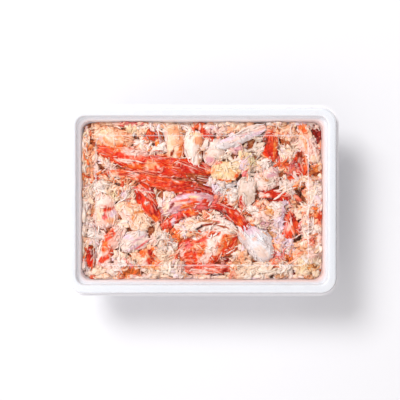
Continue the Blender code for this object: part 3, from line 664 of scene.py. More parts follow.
red_pieces = {
    "leg_long": dict(at=(-35, 28), turn=-13, bend=2, size=(95, 18, 13), top=41.8, taper=-0.12, seed=41,
        ground="vermilion", marks=[
            (-73, 37.5, -60, 7.5, 7.5, "coral"), (-71.5, 31, -35, 9.7, 5.2, "vermilion"),
            (-61, 39, 0, 7.5, 3.0, "orange"), (-67, 43.5, -20, 8.9, 2.6, "peach"),
            (-49, 36, -8, 11.2, 3.7, "blush"), (-44.5, 31, -5, 11.2, 2.2, "pink"),
            (-47.5, 25.5, -8, 9.7, 3.0, "orange"), (-58, 29.5, -10, 8.2, 1.5, "blush"),
            (-34.5, 37, -5, 6.7, 2.2, "lilac"), (-33, 32.5, -22, 5.2, 1.0, "rose"),
            (-39.5, 27, 0, 5.2, 3.0, "peach"), (-27.5, 34.5, 0, 5.2, 2.2, "orange"),
            (-23, 28, -10, 6.0, 3.0, "coral"), (-22.5, 30, 70, 3.0, 0.9, "rose"),
            (-18.5, 28.5, 62, 3.7, 0.7, "blush"), (-31.5, 20.5, 0, 2.2, 3.0, "blush"),
            (-19.5, 20.5, -32, 4.5, 0.9, "rose"), (-25.5, 19.5, -15, 8.9, 2.2, "vermilion"),
            (-4.5, 21, -8, 15.6, 6.0, "scarlet"), (-4.5, 18, -6, 8.9, 1.9, "rust"),
            (8, 16.5, -30, 4.5, 3.7, "maroon"), (5, 22, 0, 2.2, 1.9, "orange"),
        ]),
    "leg_lower": dict(at=(-33, 15), turn=-11, bend=-8, size=(86, 9.5, 8.5), top=40.9, taper=0.3, seed=42,
        ground="coral", marks=[
            (-65, 17.5, -8, 13.4, 4.5, "peach"), (-58, 19.5, -3, 8.9, 0.9, "scarlet"),
            (-50.5, 21, 0, 5.2, 3.0, "blush"), (-38.5, 16.5, -10, 8.9, 2.2, "coral"),
            (-27, 12, -15, 11.2, 2.6, "vermilion"), (-13.5, 10, -15, 9.7, 3.7, "scarlet"),
            (-0.5, 9, -15, 9.7, 5.2, "crimson"), (0.5, 12, -10, 3.7, 1.5, "rust"),
            (-5, 12, 0, 1.5, 1.5, "pink"), (2, 4, -20, 6.0, 2.2, "crimson"),
            (-70, 20.5, 10, 3.0, 0.7, "scarlet"), (-19.5, 14.5, -30, 4.5, 0.9, "blush"),
        ]),
    "red_crescent": dict(at=(23, -9), turn=-36, bend=-78, size=(38, 9.5, 8.5), top=40.8, taper=0.15,
        seed=45, ground="scarlet", marks=[
            (9, -2.5, 30, 3.7, 1.1, "rose"), (17, -4, 0, 4.5, 2.2, "scarlet"),
            (12, -8.5, -10, 6.7, 2.2, "garnet"), (21.5, -8.5, -20, 2.2, 1.1, "peach"),
            (26, -10, -40, 4.5, 3.0, "vermilion"), (28.5, -17, -85, 4.5, 2.2, "orange"),
            (29, -24.5, -80, 3.0, 3.0, "crimson"), (18, -10, -10, 4.5, 1.1, "maroon"),
        ]),
    "red_chunk": dict(at=(-40, -2), turn=-57, bend=-18, size=(33, 15, 10), top=40.9, taper=-0.15, seed=48,
        ground="vermilion", marks=[
            (-46, 10, -10, 6.7, 2.2, "coral"), (-37, 7, -12, 6.7, 1.5, "rose"),
            (-47.5, 4, -70, 3.7, 2.2, "crimson"), (-38.5, 0.5, -45, 6.7, 4.5, "vermilion"),
            (-41, -2.5, -30, 2.2, 1.5, "blush"), (-36, -8.5, -70, 5.2, 3.0, "crimson"),
            (-35, -14.5, -60, 3.7, 2.2, "orange"), (-44, 5.5, 0, 2.2, 2.2, "vermilion"),
            (-33, -5.5, 90, 2.2, 1.5, "garnet"), (-41.5, 3.5, -40, 6.0, 1.0, "blush"),
            (-38.5, -5.5, -60, 4.5, 1.1, "pink"), (-45.5, 7.5, -15, 6.0, 1.0, "blush"),
        ]),
    "red_post": dict(at=(52, 40), turn=96, bend=-8, size=(21, 12, 9), top=41.2, taper=0.1, seed=57,
        ground="vermilion", marks=[
            (50.5, 43.5, 0, 5.2, 3.7, "scarlet"), (47.5, 44.5, 90, 4.5, 1.5, "maroon"),
            (54.5, 39, 85, 5.2, 1.2, "orange"), (51.5, 35.5, 80, 4.5, 1.9, "scarlet"),
            (58, 36, 90, 4.5, 1.5, "garnet"), (58, 45.5, 0, 2.2, 2.2, "peach"),
            (52, 48.5, 0, 6.0, 0.9, "coral"),
        ]),
    "red_streak": dict(at=(55, 3), turn=-4, bend=16, size=(25, 8.5, 7), top=40.2, taper=-0.1, seed=58,
        ground="scarlet", marks=[
            (47.5, 3.5, 0, 4.5, 2.2, "pink"), (44.5, 7.5, -40, 3.7, 2.2, "garnet"),
            (55, 6.5, -8, 6.0, 2.2, "scarlet"), (62, 4, 20, 3.7, 2.2, "vermilion"),
            (50.5, 1, 0, 6.0, 1.0, "maroon"), (44, 4, 0, 4.5, 1.8, "blush"),
            (59, 7.5, -8, 4.5, 1.5, "blush"),
        ]),
    "red_flank": dict(at=(67, -19), turn=100, bend=18, size=(22, 13, 9), top=41.0, taper=-0.1, seed=59,
        ground="coral", marks=[
            (68.5, -14, 80, 4.5, 3.0, "crimson"), (64, -23.5, 60, 4.5, 3.7, "vermilion"),
            # The umber mark is painted shade in a gap beside the piece.
            (68.5, -20, -70, 5.2, 3.0, "coral"), (71.5, -28, -30, 3.7, 1.9, "umber"),
            (62, -19, 0, 2.2, 2.2, "rose"), (66.5, -18.5, 70, 4.5, 1.3, "blush"),
            (62.5, -26.5, 60, 3.0, 1.1, "pink"),
        ]),
    "bottom_streak": dict(at=(4, -52), turn=0, bend=10, size=(36, 8, 7), top=40.6, taper=0.1, seed=62,
        ground="pink", marks=[
            (-9, -50.5, 0, 6.7, 1.0, "scarlet"), (4.5, -54, -5, 7.5, 3.0, "vermilion"),
            (17, -53.5, 20, 3.0, 2.2, "crimson"), (-3, -54, 0, 6.0, 1.1, "blush"),
            (7.5, -52, -10, 7.5, 1.2, "blush"), (-4.5, -52.5, 0, 7.5, 1.2, "blush"),
            (12, -55.5, -8, 6.0, 1.0, "blush"),
        ]),
    "corner_red": dict(at=(-83.5, -43), turn=96, bend=-12, size=(18, 9, 8), top=40.4, taper=0, seed=68,
        ground="rust", marks=[
            (-86.5, -39, 80, 5.2, 3.0, "crimson"), (-84, -46, -80, 5.2, 3.0, "vermilion"),
            (-82, -40, -70, 3.0, 1.1, "maroon"), (-85.5, -49.5, 0, 3.7, 1.5, "coral"),
        ]),
}
looks = dict(strands=0.045, frays=0.9, crumbs=0.04, relief=0.8, grit=0.45, paling=0.85)
lay_large(red_pieces, leg_flesh, "red_meat", **looks)


# The orange pieces, the curled claw among them: claw and body meat with a thinner, paler skin. The claw's
# meat curls over at its upper edge in a white crest, with painted shadow along its foot.
claw_flesh = crab_flesh("orange_skinned_claw_flesh", 0.0012, 0.36)
orange_pieces = {
    "claw_curled": dict(at=(4, -33), turn=20, bend=-10, size=(47, 31, 13), top=41.0, taper=0.05, seed=43,
        ground="coral", marks=[
            (-7.5, -14.5, 20, 8.9, 4.5, "ivory"), (6, -12.5, 0, 11.9, 3.0, "milk"),
            (20, -17, -60, 6.7, 4.5, "milk"), (22.5, -22, 90, 5.2, 3.7, "ivory"),
            # The fawn mark at the end of this line and the one on the next are painted shadow under the
            # crest's curl.
            (-11, -21.5, 70, 6.0, 5.2, "ivory"), (3, -16.5, 14, 8.9, 1.2, "fawn"),
            (-3.5, -20.5, 62, 3.7, 1.5, "fawn"), (6.5, -20, 6, 8.9, 3.4, "pearl"),
            (-2, -26, 32, 6.7, 3.0, "milk"), (3.5, -30, 25, 10.4, 2.5, "vermilion"),
            (15, -21.5, 15, 6.7, 3.0, "milk"), (-6, -38.5, 0, 7.5, 7.5, "coral"),
            (-6, -42, 80, 4.5, 2.2, "vermilion"), (6.5, -34.5, 62, 12.7, 4.8, "milk"),
            (19.5, -23.5, -30, 5.2, 3.0, "milk"), (-3, -34, 30, 4.5, 1.9, "peach"),
            (2, -43, 40, 6.0, 3.0, "blush"), (0.5, -37.5, 60, 6.0, 1.9, "orange"),
            (18.5, -31, 60, 6.7, 3.7, "orange"), (18, -39, 0, 3.0, 3.0, "coral"),
            (13.5, -37, 62, 5.2, 1.0, "peach"), (-15.5, -40, 70, 4.5, 2.2, "blush"),
            (-10.5, -34, 80, 3.0, 1.9, "rose"),
        ],
        crest=dict(at=(3, -17.5), turn=6, bend=-84, size=(48, 8, 9), top=41.9, taper=0.1, seed=41,
            ground="milk", marks=[
                (-7.5, -14.5, 20, 7.5, 3.7, "ivory"), (-12, -22, 70, 6.0, 3.7, "ivory"),
                (2, -10, 0, 6.0, 1.0, "blush"), (9, -15.5, -5, 5.2, 0.8, "rose"),
                (20, -17, -60, 6.0, 3.7, "milk"), (24.5, -25, 90, 5.2, 3.0, "ivory"),
                # The fawn mark here, the umber mark below and the two rust marks under it are painted
                # shadow along the crest's foot.
                (4.5, -15.5, 0, 6.7, 1.2, "fawn"), (-4.5, -11.5, 15, 4.5, 0.9, "grey"),
                (25.5, -28, 90, 2.2, 0.9, "orange"), (-2, -20.5, 35, 5.2, 1.0, "umber"),
                (6, -18, 5, 6.0, 1.0, "rust"), (15, -19.5, -15, 4.5, 0.8, "rust"),
            ])),
    "lilac_under": dict(at=(-18, -13), turn=24, bend=-30, size=(34, 10, 9), top=40.0, taper=0.05, seed=47,
        ground="vermilion", marks=[
            (-19.5, -9.5, 10, 3.7, 3.0, "rose"), (-8, -8, 12, 5.2, 3.0, "orange"),
            (-21.5, -15.5, 80, 3.7, 1.5, "lilac"), (-15, -15.5, 70, 3.7, 2.2, "crimson"),
            (-25.5, -11.5, 0, 3.7, 3.0, "coral"), (-4.5, -3.5, 20, 3.7, 1.5, "peach"),
        ]),
    "orange_post": dict(at=(75, 27), turn=100, bend=-10, size=(19, 10, 8), top=41.0, taper=0, seed=60,
        ground="vermilion", marks=[
            (74, 32.5, 90, 5.2, 3.0, "rust"), (77.5, 28, 90, 6.7, 1.9, "orange"),
            (71, 26.5, -80, 4.5, 1.5, "garnet"), (73, 21, 90, 3.7, 2.2, "scarlet"),
        ]),
    "orange_chunk": dict(at=(-42, -43), turn=45, bend=10, size=(16, 13, 9), top=41.0, taper=-0.2, seed=63,
        ground="peach", marks=[
            (-45.5, -40, -20, 3.7, 3.0, "orange"), (-38, -41.5, -70, 6.0, 1.5, "crimson"),
            (-41.5, -46.5, 0, 4.5, 2.6, "blush"), (-48.5, -44.5, 0, 3.7, 3.0, "cream"),
            (-39.5, -46, -80, 3.0, 2.2, "vermilion"), (-35, -43, 0, 2.2, 3.7, "coral"),
        ]),
    "orange_crescent": dict(at=(-71, -35), turn=-116, bend=40, size=(35, 14, 10), top=41.4, taper=0,
        seed=66, ground="blush", marks=[
            (-77.5, -38.5, 85, 6.7, 2.6, "milk"), (-73, -33, 80, 6.7, 2.2, "orange"),
            (-70, -26.5, 50, 6.0, 3.0, "coral"), (-74, -44.5, 40, 4.5, 2.2, "vermilion"),
            (-68, -38.5, -70, 5.2, 2.2, "coral"), (-63.5, -31, 60, 6.0, 3.7, "blush"),
        ]),
}
looks = dict(strands=0.014, frays=0.8, crumbs=0.09, relief=0.75, grit=0.6, paling=0.75)
lay_large(orange_pieces, claw_flesh, "orange_meat", **looks)


# The white pieces. Peeled body and knuckle meat, smooth, close-grained and almost without skin, with a
# faint lilac or pink cast where it lay against the red.
body_flesh = crab_flesh("white_body_flesh", 0.0018, 0.34, 0.6)
white_pieces = {
    "white_lump": dict(at=(41, -31), turn=-49, bend=-12, size=(36, 20, 12), top=41.6, taper=0.12, seed=44,
        ground="mist", marks=[
            (41.5, -28, -50, 12.7, 7.5, "frost"), (35, -20.5, -30, 6.7, 4.5, "lilac"),
            (30.5, -31.5, -40, 6.0, 4.5, "mist"), (44.5, -38.5, -50, 5.2, 3.7, "pearl"),
            (39.5, -29, 0, 2.2, 1.5, "blush"), (49, -33, -60, 4.5, 3.0, "mist"),
            (29, -25, -50, 6.0, 1.5, "blush"),
        ]),
    "lilac_piece": dict(at=(-12, -1), turn=12, bend=-44, size=(44, 16, 11), top=41.2, taper=0.1, seed=46,
        ground="mauve", marks=[
            (-25.5, 1, 10, 5.2, 3.0, "milk"), (-12.5, 2.5, 8, 8.9, 2.2, "lilac"),
            (-18, -2, 20, 5.2, 1.9, "blush"), (-27.5, -5.5, 80, 4.5, 2.2, "cream"),
            (-5, 2.5, -5, 4.5, 1.0, "straw"), (-3, -5, 0, 5.2, 3.0, "rose"),
            (-11, -4, 15, 7.5, 1.8, "orange"), (-22.5, -3.5, 60, 3.0, 1.1, "garnet"),
            (-18, 5, 10, 7.5, 1.6, "rose"), (3, -2, -60, 3.7, 2.6, "scarlet"),
            (-13.5, 0, 8, 8.9, 0.9, "pink"), (-6.5, -2, 10, 5.2, 1.1, "coral"),
        ]),
    "knuckle_left": dict(at=(-21, 44), turn=95, bend=10, size=(28, 17, 10), top=41.4, taper=0, seed=50,
        ground="cream", marks=[
            (-22.5, 53, 0, 5.2, 3.0, "peach"), (-27.5, 47, 90, 7.5, 1.9, "blush"),
            (-15.5, 39, 88, 7.5, 3.0, "orange"), (-22.5, 36, 70, 3.0, 1.1, "rust"),
            (-20, 43.5, 0, 4.5, 3.0, "peach"), (-16.5, 50, 10, 3.0, 2.2, "peach"),
        ]),
    "knuckle_mid": dict(at=(-6, 39), turn=92, bend=-10, size=(28, 14, 9), top=41.3, taper=0.1, seed=51,
        ground="milk", marks=[
            (-2, 45, -5, 5.2, 3.0, "peach"), (-0.5, 39, 60, 4.5, 2.2, "fawn"),
            (-5, 49.5, 0, 6.0, 1.5, "straw"), (-8, 36, 90, 6.7, 3.0, "milk"),
            (-0.5, 28, -50, 3.7, 2.2, "fawn"),
        ]),
    "knuckle_right": dict(at=(10, 36), turn=70, bend=20, size=(22, 16, 9), top=41.0, taper=0, seed=52,
        ground="pearl", marks=[
            (6, 30, 0, 3.7, 2.2, "mauve"), (10.5, 28, 10, 5.2, 1.5, "blush"),
            (3, 35.5, 0, 0.9, 0.7, "fawn"), (9.5, 33, -50, 3.0, 0.7, "grey"),
            (12.5, 39, -10, 4.5, 1.5, "grey"), (6, 41.5, 0, 4.5, 2.2, "milk"),
            (15, 31.5, 60, 3.7, 2.2, "ivory"),
        ]),
    "milky_strand": dict(at=(27, 46.5), turn=22, bend=6, size=(46, 9, 5), top=41.3, taper=0.1, seed=53,
        ground="mist", marks=[
            (12, 43, 10, 8.2, 3.7, "mist"), (9, 48.5, 20, 4.5, 2.2, "blush"),
            (44.5, 54.5, 22, 5.2, 2.2, "blush"), (28.5, 48, 24, 10.4, 1.1, "mauve"),
            (36, 52.5, 25, 8.9, 1.2, "pearl"), (21, 45, 20, 7.5, 0.9, "pearl"),
            (18, 45.5, 15, 6.0, 1.5, "lilac"), (37, 55.5, 24, 8.9, 1.2, "milk"),
            (41, 50, 24, 6.7, 1.0, "lilac"), (25.5, 45.5, 22, 7.5, 0.7, "blush"),
        ]),
    "grey_flake": dict(at=(34, 7), turn=84, bend=10, size=(22, 15, 5.5), top=41.2, taper=0.1, seed=55,
        ground="grey", marks=[
            (25.5, 10.5, 80, 8.9, 2.2, "mist"), (30, -0.5, 80, 3.7, 2.1, "scarlet"),
            (36, 11.5, 70, 7.5, 3.0, "pearl"), (33, 3.5, 80, 6.0, 2.2, "grey"),
            (32, 10, 70, 3.7, 0.7, "blush"),
        ]),
    "lilac_lump": dict(at=(-51, -31), turn=26, bend=-16, size=(23, 15, 9), top=41.3, taper=0, seed=64,
        ground="pearl", marks=[
            (-45.5, -25, -20, 4.5, 2.2, "mist"), (-55, -28, -20, 5.2, 2.2, "lilac"),
            (-51.5, -35.5, 15, 6.7, 2.2, "lilac"), (-53.5, -31.5, 15, 6.0, 2.2, "milk"),
            (-48.5, -29.5, 30, 6.7, 0.9, "mauve"), (-46, -34, 35, 6.0, 0.7, "rose"),
            (-57.5, -35.5, 10, 3.7, 1.5, "milk"),
        ]),
    "pink_lump": dict(at=(-74, -8), turn=100, bend=-16, size=(27, 20, 11), top=41.4, taper=0, seed=67,
        ground="blush", marks=[
            (-75, -0.5, 0, 6.0, 3.0, "milk"), (-71.5, -6.5, 6, 4.5, 1.9, "vermilion"),
            (-77.5, -11, 80, 6.0, 3.0, "cream"), (-66.5, -9.5, 60, 3.7, 2.2, "lilac"),
            (-68.5, -15.5, 0, 4.5, 2.2, "peach"), (-82, -5.5, 80, 6.7, 1.5, "fawn"),
            (-73, -12.5, 0, 2.2, 2.2, "rose"),
        ]),
}
looks = dict(strands=0.010, frays=0.7, crumbs=0.045, relief=0.5, grit=0.38)
lay_large(white_pieces, body_flesh, "white_meat", **looks)


# The cream pieces. Body meat that lay between the shell's inner walls, broken into petals and the thin
# ends of legs: coarser and crumblier than the white, with a little orange along the breaks.
cream_flesh = crab_flesh("cream_body_flesh", 0.0015, 0.38, 0.8)
cream_pieces = {
    "pale_bulb": dict(at=(-67, 47), turn=-6, bend=-20, size=(31, 16, 9), top=41.2, taper=0, seed=49,
        ground="peach", marks=[
            (-72.5, 50, -10, 8.9, 3.7, "cream"), (-62.5, 40, 10, 6.0, 2.2, "orange"),
            (-56.5, 45.5, -20, 6.0, 3.7, "peach"), (-73, 52.5, 0, 3.7, 1.5, "straw"),
            (-76, 46.5, 60, 3.0, 1.5, "blush"),
        ]),
    "cream_flake": dict(at=(18, 22), turn=10, bend=-8, size=(23, 15, 4.5), top=41.5, taper=0, seed=54,
        ground="straw", marks=[
            (18, 22, 8, 8.2, 4.5, "straw"), (11, 28, 14, 5.2, 1.0, "coral"),
            (16.5, 15, -3, 10.4, 1.0, "orange"), (26, 18, 70, 5.2, 1.3, "orange"),
            (7.5, 22.5, 0, 2.2, 3.0, "peach"),
        ]),
    "pale_lump": dict(at=(49, 16), turn=20, bend=-20, size=(19, 17, 9), top=41.3, taper=0, seed=56,
        ground="blush", marks=[
            (47, 21, 0, 4.5, 3.0, "blush"), (50.5, 14.5, -20, 5.2, 3.7, "grey"),
            (57.5, 22.5, -20, 3.0, 2.2, "mauve"), (43, 13, 40, 4.5, 3.0, "pearl"),
            (52, 19.5, 20, 4.5, 1.8, "mauve"), (47, 16.5, -40, 3.7, 1.2, "fawn"),
        ]),
    "corner_leg": dict(at=(80, 43), turn=-70, bend=-14, size=(32, 12.5, 10), top=41.6, taper=0.2, seed=61,
        ground="blush", marks=[
            (76, 54, -50, 6.7, 3.0, "orange"), (82, 50, -60, 5.2, 2.2, "cream"),
            (84, 39, -80, 6.7, 4.5, "blush"), (78, 44.5, 90, 6.7, 1.2, "peach"),
            (85, 31, 0, 5.2, 3.0, "cream"), (75, 48.5, -70, 5.2, 1.5, "peach"),
        ]),
    "cream_petal": dict(at=(-52, -11), turn=-38, bend=24, size=(30, 17, 8), top=41.0, taper=0.1, seed=65,
        ground="cream", marks=[
            (-52, -14.5, 72, 6.0, 1.3, "amber"), (-46, -8.5, 12, 6.7, 1.2, "amber"),
            (-57.5, -11.5, -60, 6.7, 3.0, "blush"), (-59.5, -18.5, -50, 4.5, 3.0, "straw"),
            (-55, -16, -70, 7.5, 0.7, "milk"), (-53.5, -2.5, -20, 5.2, 2.2, "peach"),
        ]),
}
looks = dict(strands=0.014, frays=0.8, crumbs=0.12, relief=0.8, grit=0.7)
lay_large(cream_pieces, cream_flesh, "cream_meat", **looks)


# The lumps of the heap itself. They are as large as those pieces, but grown together with the flakes
# round them, so that they belong to the heap and make one object.
grown_lumps = {
    "cream_lump": dict(at=(52, -9), turn=-20, bend=20, size=(24, 16, 8), top=40.9, taper=0, seed=41,
        ground="blush", marks=[
            (50.5, -8, -30, 4, 1.2, "amber"), (45, -13, 0, 6, 5, "milk"), (58, -14, 30, 5, 4, "lilac"),
        ]),
    "frayed_tuft": dict(at=(83, 6), turn=98, bend=8, size=(22, 10, 7), top=41.0, taper=-0.2, seed=42,
        ground="pearl", marks=[
            (82, 10, 95, 8, 2, "ivory"), (86, 4, 100, 6, 2, "straw"), (80, 2, 90, 6, 1.5, "peach"),
        ]),
    "corner_lump": dict(at=(79, -41), turn=60, bend=20, size=(20, 16, 8), top=40.9, taper=0, seed=43,
        ground="cream", marks=[
            (76, -36, 0, 5, 3, "peach"), (84, -44, 40, 5, 4, "blush"),
        ]),
    "bottom_strand": dict(at=(44, -51.5), turn=-2, bend=6, size=(46, 9, 7), top=40.6, taper=0, seed=44,
        ground="ivory", marks=[
            (36, -52, 0, 9, 4, "milk"), (54, -50, -4, 9, 1.2, "peach"), (62, -51, 0, 6, 3, "milk"),
        ]),
    "pale_foot": dict(at=(-68, -52), turn=10, bend=20, size=(17, 11, 8), top=40.8, taper=0, seed=45,
        ground="ivory", marks=[
            (-72, -50, 0, 4, 3, "milk"), (-64, -54, 20, 5, 3, "cream"),
        ]),
}
kinds = []
for shape in grown_lumps.values():
    grown = whole_piece(shape, strands=0.014, frays=0.8, crumbs=0.14, relief=0.8, grit=0.8)
    body = grown[0][0].reshape(-1, 3)
    np.maximum.at(heights, cells_of(body[:, 0], body[:, 1]), body[:, 2])
    kinds += grown
points, triangles, tones, maps = gathered(kinds)
lumps = written("grown_lumps", kept_inside(points), triangles, tones, maps, cream_flesh)
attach(lumps, "root")
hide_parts("flaked_meat")


# The loose meat: chunks, flakes, shreds and threads that fill the heap between the large pieces. Each lies
# on what was laid before it. Their colours follow the places where red, orange and white meat gathered,
# with dark marks painted as shade in the heap's deep gaps.
COMMON = {  # tones of the meat at large and the share of it that has each, from the white to the red
    "milk": 0.17, "pearl": 0.05, "lilac": 0.05, "blush": 0.16, "ivory": 0.11, "cream": 0.19,
    "straw": 0.03, "peach": 0.13, "pink": 0.02, "orange": 0.04, "coral": 0.03, "scarlet": 0.02,
}
